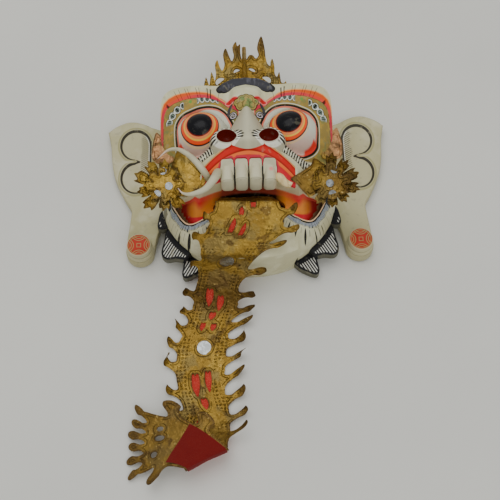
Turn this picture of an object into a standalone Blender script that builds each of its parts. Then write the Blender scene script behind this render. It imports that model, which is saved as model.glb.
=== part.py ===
"""A carved and painted Balinese Rangda dance mask with gilded leather trim, lying on its back.

Metres, +Z up off the table, +Y from the chin to the crown, +X to the viewer's right. The face is carved in
"carver's units": one unit is a millimetre at the sizes given here, and the three face sizes stretch them.
The finished mask is moved so that the middle of its footprint is the origin.
"""

import math

import bmesh
import bpy
import numpy as np
from mathutils import Matrix, Vector

# Face: carved from one block, with the hair band, brows, eyes, nose, lips, teeth and beard tufts
FACE_WIDTH = 0.202
FACE_LENGTH = 0.204
FACE_DEPTH = 0.138
WALL = 0.011
MOUTH_FLOOR = 0.056
THROAT_WIDTH = 0.082
THROAT_HEIGHT = 0.026
NOSTRIL_WIDTH = 0.022
NOSTRIL_DEPTH = 0.016
TOOTH_WIDTH = 0.0150
TOOTH_HEIGHT = 0.029
TOOTH_BEVEL = 0.0032
TUFT_THICKNESS = 0.012
# Ears: two boards pegged to the sides of the face
EAR_THICKNESS = 0.012
EAR_REACH = 0.068
EAR_LIFT = 0.002
EAR_CARVING = 0.0015
LOBE_RADIUS = 0.0163
# Earrings: turned plugs through the lobes
EARRING_RADIUS = 0.0140
EARRING_HEIGHT = 0.016
EARRING_PIN = 0.006
EARRING_RIM = 0.0016
# Tusks
TUSK_RADIUS = 0.0043
CRESCENT_RADIUS = 0.0030
STUB_RADIUS = 0.0052
# Gilded leather, felt and mirror glass
LEATHER = 0.0016
FELT = 0.0008
MIRROR_THICKNESS = 0.0014
CREST_HEIGHT = 0.072
CREST_WIDTH = 0.100
CREST_LIFT = 0.066
FIN_WIDTH = 0.0075
FIN_RISE = 0.013
ROSETTE_RADIUS = 0.033
ROSETTE_CUP = 0.009
ROSETTE_MIRROR = 0.0044
STRAP_TIP = 0.0052
TONGUE_MIRROR = 0.0082
TONGUE_FLAME = 0.017
TONGUE_CLEARANCE = 0.0050
# The gap left between pieces that touch, and how deep a root sits in the face
GAP = 0.0003
SLOT_PLAY = 0.0007
SEAT = 0.005

# The face's own proportions, in carver's units
HALF_WIDTH = 101.0
CHIN_Y = -65.0
WAIST_Y = 20.0
BROW_Y = 139.0
HAIR_ARCH = 11.0
HAIR_SPREAD = 26.0
NOSE_Z = 138.0
# How square the outline is: 2 is an ellipse, and a high power is a box with small round corners
BROW_POWER = 14.0
JAW_POWER = 2.1
SCALE = Vector((FACE_WIDTH / (2 * HALF_WIDTH), FACE_LENGTH / (BROW_Y - CHIN_Y), FACE_DEPTH / NOSE_Z))
FACE_GRID = (34, 38)
HOLLOW_GRID = (14, 15)
SIDES = {"left": -1, "right": 1}

ROOT = None
PARTS = None
CUTTERS = None


def clear_scene():
    """Removes everything in the scene and makes the two collections and the parent of all pieces."""
    global ROOT, PARTS, CUTTERS
    for obj in list(bpy.data.objects):
        bpy.data.objects.remove(obj, do_unlink=True)
    PARTS = bpy.data.collections.new("rangda_mask")
    CUTTERS = bpy.data.collections.new("cutters")
    bpy.context.scene.collection.children.link(PARTS)
    bpy.context.scene.collection.children.link(CUTTERS)
    ROOT = bpy.data.objects.new("mask_middle", None)
    PARTS.objects.link(ROOT)


def material(name, color, roughness, metallic=0.0):
    """A plain Principled material."""
    found = bpy.data.materials.get(name)
    if found:
        return found
    made = bpy.data.materials.new(name)
    made.use_nodes = True
    shader = made.node_tree.nodes["Principled BSDF"]
    shader.inputs["Base Color"].default_value = (*color, 1.0)
    shader.inputs["Roughness"].default_value = roughness
    shader.inputs["Metallic"].default_value = metallic
    return made


def cream_paint():
    return material("cream_paint", (0.55, 0.51, 0.38), 0.45)


def gilded_leather():
    return material("gilded_leather", (0.30, 0.19, 0.05), 0.40, 0.6)


def red_felt():
    return material("red_felt", (0.50, 0.03, 0.02), 0.95)


def mirror_glass():
    return material("mirror_glass", (0.60, 0.62, 0.62), 0.08, 0.9)


def place(obj, collection=None):
    """Moves an object to the parts, or to another collection, and hangs it on the mask's middle."""
    for old in list(obj.users_collection):
        old.objects.unlink(obj)
    (collection or PARTS).objects.link(obj)
    obj.parent = ROOT
    if collection is not None:
        obj.hide_render = True
        obj.display_type = "WIRE"
    return obj


def mesh_object(name, bm, paint=None, collection=None):
    """An object of a bmesh with its normals outwards."""
    bmesh.ops.recalc_face_normals(bm, faces=bm.faces)
    mesh = bpy.data.meshes.new(name)
    bm.to_mesh(mesh)
    bm.free()
    mesh.shade_smooth()
    mesh.set_sharp_from_angle(angle=math.radians(40))
    obj = bpy.data.objects.new(name, mesh)
    if paint:
        mesh.materials.append(paint)
    return place(obj, collection)


def as_mesh(obj, paint=None, collection=None):
    """A curve or a modified object as a plain mesh object of the same name and place."""
    graph = bpy.context.evaluated_depsgraph_get()
    mesh = bpy.data.meshes.new_from_object(obj.evaluated_get(graph))
    name, matrix = obj.name, obj.matrix_world.copy()
    bpy.data.objects.remove(obj, do_unlink=True)
    bm = bmesh.new()
    bm.from_mesh(mesh)
    bmesh.ops.remove_doubles(bm, verts=bm.verts, dist=1e-6)
    bmesh.ops.transform(bm, matrix=matrix, verts=bm.verts)
    mesh.name = name + "_before"
    return mesh_object(name, bm, paint, collection)


def boolean(obj, other, operation):
    """Adds a Boolean modifier."""
    modifier = obj.modifiers.new(f"{operation.lower()}_{other.name}", "BOOLEAN")
    modifier.operation = operation
    modifier.object = other
    modifier.solver = "EXACT"


def carver(x, y, z=0.0):
    """A spot given in carver's units, in metres."""
    return Vector((x * SCALE.x, y * SCALE.y, z * SCALE.z))


def ramp(value, low, high):
    """0 below low, 1 above high, smooth between."""
    share = np.clip((value - low) / (high - low), 0.0, 1.0)
    return share * share * (3.0 - 2.0 * share)


def blend_up(first, second, soft):
    """The higher of two heights, with the crease between them rounded."""
    return 0.5 * (first + second + np.sqrt((first - second) ** 2 + soft * soft))


def dome(x, y, x_mid, y_mid, x_half, y_half):
    """1 at the middle of an ellipse, 0 at its edge, less outside."""
    return 1.0 - ((x - x_mid) / x_half) ** 2 - ((y - y_mid) / y_half) ** 2


def bump(height, share, foot, rise, soft):
    """Raises a height by a round bump where share is over 0."""
    raised = blend_up(height, foot + rise * np.sqrt(np.clip(share, 0.0, None)), soft)
    return np.where(share > 0, raised, height)


def along(x, y, points):
    """How far a spot is from a bent line, and how far along the line the nearest point is, from 0 to 1."""
    best = np.full(np.shape(x), 1e9)
    share = np.zeros(np.shape(x))
    spans = [math.dist(a, b) for a, b in zip(points, points[1:])]
    run = 0.0
    for a, b, span in zip(points, points[1:], spans):
        t = np.clip(((x - a[0]) * (b[0] - a[0]) + (y - a[1]) * (b[1] - a[1])) / span**2, 0, 1)
        off = np.hypot(x - a[0] - t * (b[0] - a[0]), y - a[1] - t * (b[1] - a[1]))
        share = np.where(off < best, (run + t * span) / sum(spans), share)
        best = np.minimum(off, best)
        run += span
    return best, share


def edge_share(x, y):
    """0 in the middle of the face, 1 on its outline: a bowl at the jaw and nearly square at the brows."""
    upper = y > WAIST_Y
    crown = BROW_Y + HAIR_ARCH * np.exp(-((x / HAIR_SPREAD) ** 4)) - WAIST_Y
    rise = np.where(upper, (y - WAIST_Y) / crown, (WAIST_Y - y) / (WAIST_Y - CHIN_Y))
    power = np.where(upper, BROW_POWER, JAW_POWER)
    return (np.abs(x / HALF_WIDTH) ** power + np.abs(rise) ** power) ** (1.0 / power)


def lower_lip(across):
    """The lower lip's line, in carver's units, at a distance from the middle."""
    wave = -21.0 - 4.0 * math.cos(across / 62.0 * 2.0 * math.pi)
    return wave + 55.0 * max((across - 66.0) / 34.0, 0.0) ** 2


def gum_edge(across):
    """The upper edge of the open mouth at a distance from the middle."""
    return 14.0 - 14.0 * (across / 60.0) ** 2 if across < 60.0 else 0.0


def skin(x, y):
    """The height of the carved skin over the table, in carver's units, without teeth, nostrils and mouth."""
    side_x = np.abs(x)
    share = np.minimum(edge_share(x, y), 1.0)
    side = 24.0 + 46.0 * ramp(y, 15, 120)
    height = side + (90.0 - side) * np.sqrt(1.0 - share ** (2.4 + 4.5 * ramp(y, 10, 110)))
    muzzle = dome(side_x, y, 0, 22, 72, 50)
    height = bump(height, muzzle, 60, 60, 8)
    forehead = dome(side_x, y, 0, 122, 30, 24)
    height = bump(height, forehead, 70, 30, 5)
    brow = ramp(y, 78, 112) * ramp(side_x, 14, 24)
    plate = 97 - 0.006 * (side_x - 55) ** 2 - 0.008 * (y - 128) ** 2 - 26 * ramp(share, 0.955, 1.0)
    height = height * (1 - brow) + brow * np.maximum(plate, side)
    socket = np.hypot((side_x - 51) / 34, (y - 77) / 29)
    height = np.minimum(height, height + (84 - height) * ramp(1 - socket, 0, 0.12))
    eyeball = dome(side_x, y, 50.5, 75, 32, 28)
    height = bump(height, eyeball, 76, 42, 2)
    down = np.clip((97 - y) / 57, 0, 1)
    ridge = 106 + 32 * down**0.85 - 15 * (side_x / (5 + 15 * down**0.8)) ** 2
    ridge = ridge - 0.10 * np.clip(46 - y, 0, None) ** 2 - 3.0 * np.clip(y - 95, 0, None)
    height = np.where((y > 30) & (y < 104), blend_up(height, ridge, 3), height)
    nostril_wing = dome(side_x, y, 24, 50, 19, 16)
    height = bump(height, nostril_wing, 104, 29, 3)
    off, run = along(side_x, y, [(38, 44), (60, 30), (88, 16)])
    height = blend_up(height, 112 - 30 * run - 0.16 * off**2, 3)
    above = y - (43 - 20 * (side_x / 50) ** 2)
    lip = 127 - 24 * (side_x / 50) ** 2 - 0.022 * np.clip(-above, 0, None) ** 2
    lip = lip - 0.35 * np.clip(above, 0, None) ** 2
    height = np.where(side_x < 54, blend_up(height, lip, 2), height)
    off, run = along(side_x, y, [(0, 144), (14, 142.5), (24, 137), (31, 131)])
    hair = 88 + 6 * np.sqrt(np.clip(1 - (off / 7) ** 2, 0, 1))
    return np.where(off < 8, blend_up(height, hair, 2), height)


def skin_at(x, y):
    """The skin's height at one spot in metres, in metres."""
    return float(skin(np.array(x / SCALE.x), np.array(y / SCALE.y))) * SCALE.z


def inner_skin(x, y):
    """The height of the hollow behind the face, in carver's units."""
    share = np.minimum(edge_share(x, y), 1.0)
    top = 44.0 + 26.0 * ramp(y, 8, 42)
    return top * (1.0 - share**3) ** 0.4


def face_block(name, grid, height, inset, foot, paint=None, collection=None):
    """A grid pulled to the face's outline and carved to a height, closed by a wall and a flat back."""
    bpy.ops.mesh.primitive_grid_add(x_subdivisions=grid[0], y_subdivisions=grid[1], size=2)
    made = bpy.context.object
    bm = bmesh.new()
    bm.from_mesh(made.data)
    bpy.data.objects.remove(made, do_unlink=True)
    wide = 1.0 - inset / (FACE_WIDTH / 2)
    tall = 1.0 - inset / (FACE_LENGTH / 2)
    for vert in bm.verts:
        u, v = vert.co.x, vert.co.y
        reach = max(abs(u), abs(v), 1e-6)
        power = BROW_POWER if v > 0 else JAW_POWER
        pull = max(abs(u / reach) ** power + abs(v / reach) ** power, 1.0) ** (-1.0 / power)
        x = HALF_WIDTH * u * pull
        crown = BROW_Y + HAIR_ARCH * math.exp(-((x / HAIR_SPREAD) ** 4)) - WAIST_Y
        y = WAIST_Y + (crown if v > 0 else WAIST_Y - CHIN_Y) * v * pull
        z = float(height(np.array(x), np.array(y)))
        middle = (BROW_Y + CHIN_Y) / 2
        vert.co = carver(x * wide, middle + (y - middle) * tall, z)
    border = [edge for edge in bm.edges if edge.is_boundary]
    extruded = bmesh.ops.extrude_edge_only(bm, edges=border)["geom"]
    for vert in extruded:
        if isinstance(vert, bmesh.types.BMVert):
            vert.co.z = foot
    bmesh.ops.contextual_create(bm, geom=[e for e in extruded if isinstance(e, bmesh.types.BMEdge)])
    return mesh_object(name, bm, paint, collection)


def prism(name, outline, low, high, paint=None, collection=None):
    """A flat outline in metres, as a curve filled on both faces, between two heights."""
    curve = bpy.data.curves.new(name, "CURVE")
    curve.dimensions = "2D"
    curve.fill_mode = "BOTH"
    curve.extrude = (high - low) / 2
    spline = curve.splines.new("POLY")
    spline.points.add(len(outline) - 1)
    for point, (x, y) in zip(spline.points, outline):
        point.co = (x, y, 0, 1)
    spline.use_cyclic_u = True
    obj = bpy.data.objects.new(name, curve)
    PARTS.objects.link(obj)
    obj.location.z = (high + low) / 2
    bpy.context.view_layer.update()
    return as_mesh(obj, paint, collection)


def smooth_line(points, count):
    """Evenly numbered points on a Catmull-Rom curve through the given ones."""
    points = [Vector(p) for p in points]
    ends = [2 * points[0] - points[1], *points, 2 * points[-1] - points[-2]]
    line = []
    for i in range(count):
        at = i * (len(points) - 1) / (count - 1)
        k = min(int(at), len(points) - 2)
        t = at - k
        a, b, c, d = ends[k : k + 4]
        spot = 2 * b + (c - a) * t + (2 * a - 5 * b + 4 * c - d) * t**2 + (3 * b - a - 3 * c + d) * t**3
        line.append(0.5 * spot)
    return line


def horn(name, points, radius, taper, count, paint=None, collection=None, grow=0.0):
    """A tapering round horn along a smooth line; taper gives the radius share from root to tip."""
    curve = bpy.data.curves.new(name, "CURVE")
    curve.dimensions = "3D"
    curve.bevel_depth = 1.0
    curve.bevel_resolution = 2
    curve.use_fill_caps = True
    spline = curve.splines.new("POLY")
    spline.points.add(count - 1)
    for i, (point, spot) in enumerate(zip(spline.points, smooth_line(points, count))):
        point.co = (*spot, 1)
        point.radius = radius * taper(i / (count - 1)) + grow
    obj = bpy.data.objects.new(name, curve)
    PARTS.objects.link(obj)
    bpy.context.view_layer.update()
    return as_mesh(obj, paint, collection)


def leather(name, points, faces, thickness, offset, paint=None, collection=None):
    """A sheet from its points and faces, with Solidify giving it thickness."""
    bm = bmesh.new()
    verts = [bm.verts.new(p) for p in points]
    for face in faces:
        bm.faces.new([verts[i] for i in face])
    mesh = bpy.data.meshes.new(name)
    bm.to_mesh(mesh)
    bm.free()
    obj = place(bpy.data.objects.new(name, mesh), collection)
    if paint:
        mesh.materials.append(paint)
    solid = obj.modifiers.new("thickness", "SOLIDIFY")
    solid.thickness = thickness
    solid.offset = offset
    return obj


def mouth_cutter():
    """The open mouth between the lower lip and the gums, down to its floor."""
    across = [i * 7.0 for i in range(-12, 13)]
    low = [carver(x, lower_lip(abs(x))) for x in across]
    high = [carver(x, gum_edge(abs(x)) if abs(x) < 60 else 6.0 - abs(x) * 0.03) for x in across]
    high = [Vector((p.x, max(p.y, q.y + GAP))) for p, q in zip(high, low)]
    outline = [(p.x, p.y) for p in low] + [(p.x, p.y) for p in reversed(high)]
    return prism("mouth_cutter", outline, MOUTH_FLOOR, FACE_DEPTH * 1.1, None, CUTTERS)


def throat_cutter():
    """The slot behind the teeth that opens the mouth into the hollow."""
    middle = carver(0, -3)
    outline = []
    for i in range(16):
        turn = 2 * math.pi * i / 16
        outline.append((
            middle.x + THROAT_WIDTH / 2 * math.cos(turn),
            middle.y + THROAT_HEIGHT / 2 * math.sin(turn),
        ))
    return prism("throat_cutter", outline, MOUTH_FLOOR * 0.4, MOUTH_FLOOR * 1.25, None, CUTTERS)


def nostril_cutter(side, sign):
    """A round hole pushed up into one wing of the nose."""
    bm = bmesh.new()
    bmesh.ops.create_uvsphere(bm, u_segments=12, v_segments=6, radius=1.0)
    reach = Vector((NOSTRIL_WIDTH / 2, NOSTRIL_WIDTH * 0.36, NOSTRIL_DEPTH))
    centre = carver(sign * 23, 49, 130)
    tilt = Matrix.Rotation(math.radians(14), 4, "X")
    bmesh.ops.transform(bm, verts=bm.verts, matrix=Matrix.Translation(centre) @ tilt @ Matrix.Diagonal((*reach, 1)))
    return mesh_object(f"nostril_cutter_{side}", bm, None, CUTTERS)


def tooth(index):
    """One of the four upper teeth, a rounded block growing out of the gums."""
    across = (index - 1.5) * (TOOTH_WIDTH + GAP)
    foot = carver(0, 27).y - TOOTH_HEIGHT
    top = carver(0, 0, 116 - 5.0 * ((index - 1.5) / 1.5) ** 2).z
    low = carver(0, 0, 86).z
    bm = bmesh.new()
    bmesh.ops.create_cube(bm, size=1.0)
    size = Matrix.Diagonal((TOOTH_WIDTH - GAP, TOOTH_HEIGHT, top - low, 1))
    middle = Matrix.Translation((across, foot + TOOTH_HEIGHT / 2, (top + low) / 2))
    bmesh.ops.transform(bm, verts=bm.verts, matrix=middle @ size)
    upper = [e for e in bm.edges if all(v.co.z > (top + low) / 2 for v in e.verts)]
    bmesh.ops.bevel(bm, geom=upper, offset=TOOTH_BEVEL, segments=2, affect="EDGES", profile=0.5)
    return mesh_object(f"tooth_{index + 1}", bm, None, CUTTERS)


# Beard tufts at the jaw, in carver's units, as outlines on the right side, and the height of each one's foot
TUFTS = (
    ((94, 14), (103, 9), (107, -11), (97, -13), (92, -4)),
    ((90, -6), (96, -12), (102, -41), (97, -50), (74, -51), (66, -40), (80, -26)),
    ((66, -38), (75, -48), (79, -66), (72, -69), (61, -64), (50, -53), (54, -46)),
)
TUFT_FOOT = (17.0, 15.0, 4.0)


def tuft(index, side, sign):
    """One pointed tuft of the beard, growing out of the jaw."""
    outline = [tuple(carver(sign * x, y).xy) for x, y in TUFTS[index]]
    low = carver(0, 0, TUFT_FOOT[index]).z
    return prism(f"tuft_{index + 1}_{side}", outline, low, low + TUFT_THICKNESS, None, CUTTERS)


def face(sockets):
    """The carved face, with the sockets of the pieces that are let into it."""
    obj = face_block("face", FACE_GRID, skin, 0.0, 0.0, cream_paint())
    for index in range(len(TUFTS)):
        for side, sign in SIDES.items():
            boolean(obj, tuft(index, side, sign), "UNION")
    boolean(obj, mouth_cutter(), "DIFFERENCE")
    for index in range(4):
        boolean(obj, tooth(index), "UNION")
    hollow = face_block("hollow_cutter", HOLLOW_GRID, inner_skin, WALL, -WALL, None, CUTTERS)
    boolean(obj, hollow, "DIFFERENCE")
    boolean(obj, throat_cutter(), "DIFFERENCE")
    for side, sign in SIDES.items():
        boolean(obj, nostril_cutter(side, sign), "DIFFERENCE")
    for socket in sockets:
        boolean(obj, socket, "DIFFERENCE")
    return obj


# The ear's outline in shares of its reach out from the face, and in carver's units along it
EAR_OUTER = (
    (0.00, 125), (0.22, 133), (0.48, 141), (0.70, 140.5), (0.87, 135), (1.00, 127.5), (0.945, 108), (0.92, 84),
    (0.86, 63), (0.74, 44), (0.65, 32), (0.55, 20), (0.58, 2), (0.62, -22),
)
EARRING_SPOT = (0.39, -33.0)
EAR_SCROLLS = ((0.50, 108.0, 17.5, 20.0), (0.49, 63.0, 17.0, 20.0))


def ear_spot(share, y, sign):
    """A spot on an ear: a share of its reach from the face's side, and a height in carver's units."""
    return Vector((sign * (FACE_WIDTH / 2 + GAP + share * EAR_REACH), carver(0, y).y))


def ear(side, sign):
    """An ear board with its two sunk scrolls, and the hole for the earring's pin."""
    middle = ear_spot(*EARRING_SPOT, sign)
    outline = [tuple(ear_spot(share, y, sign)) for share, y in EAR_OUTER]
    for i in range(9):
        turn = math.radians(20 - i * 25)
        outline.append((middle.x + sign * LOBE_RADIUS * math.cos(turn), middle.y + LOBE_RADIUS * math.sin(turn)))
    outline.append(tuple(ear_spot(0.08, -12, sign)))
    outline.append(tuple(ear_spot(0.0, 10, sign)))
    low, high = EAR_LIFT, EAR_LIFT + EAR_THICKNESS
    obj = prism(f"ear_{side}", outline, low, high, cream_paint())
    for index, (share, y, wide, tall) in enumerate(EAR_SCROLLS):
        spot = ear_spot(share, y, sign)
        ring = []
        for i in range(16):
            turn = 2 * math.pi * i / 16
            ring.append((spot.x + wide * SCALE.x * math.cos(turn), spot.y + tall * SCALE.y * math.sin(turn)))
        name = f"scroll_cutter_{index + 1}_{side}"
        boolean(obj, prism(name, ring, high - EAR_CARVING, high + WALL, None, CUTTERS), "DIFFERENCE")
    hole = pin_cutter(side, middle)
    boolean(obj, hole, "DIFFERENCE")
    return obj


def pin_cutter(side, middle):
    """The hole in the lobe that the earring's pin goes through."""
    bm = bmesh.new()
    bmesh.ops.create_cone(
        bm, cap_ends=True, segments=20, radius1=EARRING_PIN + GAP, radius2=EARRING_PIN + GAP, depth=EAR_THICKNESS * 2
    )
    spot = Matrix.Translation((middle.x, middle.y, EAR_LIFT + EAR_THICKNESS / 2))
    bmesh.ops.transform(bm, verts=bm.verts, matrix=spot)
    return mesh_object(f"pin_cutter_{side}", bm, None, CUTTERS)


def turned(name, profile, spot, steps, paint):
    """A turned piece: a profile of (radius, height) from the top of its axis down, spun by a Screw."""
    bm = bmesh.new()
    verts = [bm.verts.new((radius, 0, height)) for radius, height in profile]
    for a, b in zip(verts, verts[1:]):
        bm.edges.new((a, b))
    mesh = bpy.data.meshes.new(name)
    bm.to_mesh(mesh)
    bm.free()
    obj = bpy.data.objects.new(name, mesh)
    PARTS.objects.link(obj)
    obj.location = spot
    screw = obj.modifiers.new("turning", "SCREW")
    screw.steps = steps
    screw.render_steps = steps
    screw.use_merge_vertices = True
    screw.merge_threshold = 1e-5
    bpy.context.view_layer.update()
    return as_mesh(obj, paint)


def earring(side, sign):
    """A turned plug: a drum over the lobe with a sunk face, and a pin down through the hole."""
    spot = ear_spot(*EARRING_SPOT, sign)
    seat = EAR_LIFT + EAR_THICKNESS + GAP
    top = seat + EARRING_HEIGHT
    profile = [
        (0, top - EARRING_RIM), (EARRING_RADIUS - EARRING_RIM, top - EARRING_RIM), (EARRING_RADIUS - EARRING_RIM, top),
        (EARRING_RADIUS, top - EARRING_RIM / 2), (EARRING_RADIUS * 1.03, seat + EARRING_HEIGHT * 0.4),
        (EARRING_RADIUS * 1.1, seat + EARRING_HEIGHT * 0.3), (EARRING_RADIUS * 1.1, seat), (EARRING_PIN, seat),
        (EARRING_PIN, EAR_LIFT), (0, EAR_LIFT),
    ]
    return turned(f"earring_{side}", profile, (spot.x, spot.y, 0), 16, cream_paint())


# Crest flames: shares of the crest's half width and of its height, valley and tip by turns from left to right
CREST_OUTLINE = (
    (-1.00, 0.00), (-0.96, 0.16), (-0.86, 0.10), (-0.82, 0.30), (-0.70, 0.20), (-0.66, 0.52), (-0.52, 0.36),
    (-0.46, 0.78), (-0.34, 0.55), (-0.25, 0.60), (-0.22, 0.92), (-0.10, 0.88), (-0.06, 0.62), (0.10, 0.70),
    (0.22, 0.68), (0.30, 0.62), (0.42, 1.00), (0.54, 0.60), (0.60, 0.40), (0.70, 0.52), (0.74, 0.26), (0.86, 0.34),
    (0.90, 0.14), (1.00, 0.18), (1.00, 0.00),
)
CREST_HOLES = ((-0.58, 0.17, -35), (-0.20, 0.36, -30), (0.22, 0.36, 30), (0.62, 0.15, 35))


def crest_foot(share):
    """Where the crest meets the crown, at a share of its half width."""
    across = share * CREST_WIDTH / 2 / SCALE.x
    return carver(0, BROW_Y + HAIR_ARCH * math.exp(-((across / HAIR_SPREAD) ** 4))).y


def crest_sheet(name, grow, paint=None, collection=None):
    """The flame-cut sheet that stands out over the crown, seated in the wood along its foot."""
    base = crest_foot(1.0)
    outline = []
    for share, rise in CREST_OUTLINE:
        foot = base - SEAT if rise == 0 else base + 0.010
        outline.append((share * CREST_WIDTH / 2, foot + rise * CREST_HEIGHT))
    if collection is not None:
        outline = [(-CREST_WIDTH / 2 - grow, base - SEAT - grow), (-CREST_WIDTH / 2 - grow, base + CREST_HEIGHT)]
        outline += [(CREST_WIDTH / 2 + grow, base + CREST_HEIGHT), (CREST_WIDTH / 2 + grow, base - SEAT - grow)]
    low = CREST_LIFT - grow
    return prism(name, outline, low, CREST_LIFT + LEATHER + grow, paint, collection)


def crest():
    """The crest with its pierced crescents."""
    obj = crest_sheet("crest", 0.0, gilded_leather())
    for index, (share, rise, turn) in enumerate(CREST_HOLES):
        middle = Vector((share * CREST_WIDTH / 2, crest_foot(1.0) + 0.010 + rise * CREST_HEIGHT))
        ring = []
        for i in range(12):
            at = 2 * math.pi * i / 12
            spot = Matrix.Rotation(-math.radians(turn), 2) @ Vector((0.0062 * math.cos(at), 0.0026 * math.sin(at)))
            ring.append(tuple(middle + spot))
        hole = prism(f"crest_hole_{index + 1}", ring, CREST_LIFT - WALL, CREST_LIFT + WALL, None, CUTTERS)
        boolean(obj, hole, "DIFFERENCE")
    return obj


def crest_fin():
    """The folded strip that stands up along the middle of the crest."""
    foot = carver(0, BROW_Y + HAIR_ARCH).y + GAP * 3
    tip = crest_foot(1.0) + 0.010 + CREST_HEIGHT * 0.83
    base = CREST_LIFT + LEATHER + GAP
    half = FIN_WIDTH / 2
    points = []
    for y, rise in ((foot, 1.0), ((foot + tip) / 2, 0.8), (tip, 0.35)):
        points += [(-half, y, base), (0, y, base + FIN_RISE * rise), (half, y, base)]
    faces = [(0, 1, 4, 3), (1, 2, 5, 4), (3, 4, 7, 6), (4, 5, 8, 7), (0, 2, 1), (6, 7, 8), (0, 3, 5, 2), (3, 6, 8, 5)]
    bm = bmesh.new()
    verts = [bm.verts.new(p) for p in points]
    for corners in faces:
        bm.faces.new([verts[i] for i in corners])
    return mesh_object("crest_fin", bm, gilded_leather())


# Tusk lines in carver's units, from root to tip
LOWER_TUSK = (
    (-33, 22, 96), (-34, 16, 106), (-40, 5, 108), (-49, -5, 108), (-63, -10, 108), (-72, -9, 109), (-77, -4, 111),
)
CRESCENT = (
    (-43, 13, 94), (-47, 15, 106), (-54, 25, 108), (-63, 36, 108), (-75, 46, 106), (-88, 49, 102), (-101, 41, 97),
)
STUB = ((30, 16, 94), (34, 9, 105), (38, 2, 108), (44, -2, 107))


def tusk(name, line, radius, taper, count, grow=0.0, collection=None):
    """A tusk, or with a collection the socket that its root needs in the face."""
    points = [carver(*p) for p in line]
    paint = None if collection else cream_paint()
    return horn(name, points, radius, taper, count, paint, collection, grow)


def horn_taper(share):
    return max(1.0 - share**1.6, 0.10)


def crescent_taper(share):
    return max(1.15 * (1.0 - share**3.0), 0.12)


def stub_taper(share):
    return 1.0 - 0.25 * share


TUSKS = {
    "tusk_lower_left": (LOWER_TUSK, TUSK_RADIUS, horn_taper, 14),
    "tusk_upper_left": (CRESCENT, CRESCENT_RADIUS, crescent_taper, 16),
    "tusk_stub_right": (STUB, STUB_RADIUS, stub_taper, 6),
}

# Rosettes: the middle of each in carver's units, the way its strap points, and its mirrors' offsets
ROSETTES = {
    "left": ((-93, 8, 96), (-53, 7, 97), ((-1.5, 16.0), (5.0, -1.0), (-8.0, -9.5))),
    "right": ((91, 6, 96), (51.5, 5, 97), ((3.5, 14.0), (-2.0, -1.0), (0.5, -13.0))),
}
PETALS = 24


def rosette_frame(side):
    """A matrix that stands a rosette on its middle, facing up and a little towards the chin."""
    return Matrix.Translation(carver(*ROSETTES[side][0])) @ Matrix.Rotation(math.radians(20), 4, "X")


def rosette_sheet(name, side, grow=0.0, paint=None, collection=None):
    """A cupped leather flower with ragged petals and a strap that runs to the mouth's corner."""
    frame = rosette_frame(side)
    strap = frame.inverted() @ carver(*ROSETTES[side][1])
    heading = math.atan2(strap.y, strap.x)
    points = [frame @ Vector((0, 0, 0))]
    rings = (0.36, 0.68, 1.0)
    for ring, share in enumerate(rings):
        for i in range(PETALS):
            turn = 2 * math.pi * i / PETALS + heading
            tip = 0.84 + 0.16 * math.cos(math.pi * i) + 0.06 * math.sin(2.3 * i)
            radius = ROSETTE_RADIUS * share * (tip if ring == 2 else 1.0)
            cup = ROSETTE_CUP * max(radius / ROSETTE_RADIUS - rings[1], 0.0) / (1.0 - rings[1])
            radius += 3 * grow if ring == 2 else 0.0
            spot = Vector((radius * math.cos(turn), radius * math.sin(turn), cup))
            if ring == 2 and i in (0, 1, PETALS - 1):
                off = (i + 1) % PETALS - 1
                across = Vector((-math.sin(heading), math.cos(heading), 0)) * (STRAP_TIP + 3 * grow) * off
                inner = Vector((math.cos(heading), math.sin(heading), 0)) * ROSETTE_RADIUS * rings[1]
                spot = strap + (strap - inner).normalized() * 3 * grow + across
            points.append(frame @ spot)
    faces = [(0, 1 + i, 1 + (i + 1) % PETALS) for i in range(PETALS)]
    for ring in range(len(rings) - 1):
        inner, outer = 1 + ring * PETALS, 1 + (ring + 1) * PETALS
        for i in range(PETALS):
            after = (i + 1) % PETALS
            faces.append((inner + i, outer + i, outer + after, inner + after))
    return leather(name, points, faces, LEATHER + 2 * grow, 0.0, paint, collection)


def disc(name, frame, radius, thickness, lift, segments=16, paint=None, collection=None):
    """A flat disc standing on a frame's XY plane."""
    bm = bmesh.new()
    bmesh.ops.create_cone(bm, cap_ends=True, segments=segments, radius1=radius, radius2=radius, depth=thickness)
    move = frame @ Matrix.Translation((0, 0, lift + thickness / 2))
    bmesh.ops.transform(bm, verts=bm.verts, matrix=move)
    return mesh_object(name, bm, paint, collection)


def rosette(side):
    """One rosette and its three round mirrors."""
    rosette_sheet(f"rosette_{side}", side, 0.0, gilded_leather())
    frame = rosette_frame(side)
    for index, (x, y) in enumerate(ROSETTES[side][2]):
        spot = frame @ Matrix.Translation((x / 1000, y / 1000, 0))
        name = f"rosette_mirror_{side}_{index + 1}"
        disc(name, spot, ROSETTE_MIRROR, MIRROR_THICKNESS, LEATHER / 2 + GAP, 12, mirror_glass())


# A pointed leaf of leather beside each temple, in carver's units
TEMPLE_LEAF = ((105.5, 97, 61), (84, 50, 75), (95, 47, 72), (107, 53, 68))


def temple_leaf(name, sign, grow=0.0, paint=None, collection=None):
    """The leaf, or the slot that its foot needs in the cheek."""
    points = [carver(sign * x, y, z) for x, y, z in TEMPLE_LEAF]
    middle = sum(points, Vector()) / len(points)
    points = [p + (p - middle).normalized() * 3 * grow for p in points]
    return leather(name, points, [(0, 1, 2), (0, 2, 3)], LEATHER + 2 * grow, 0.0, paint, collection)


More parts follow.
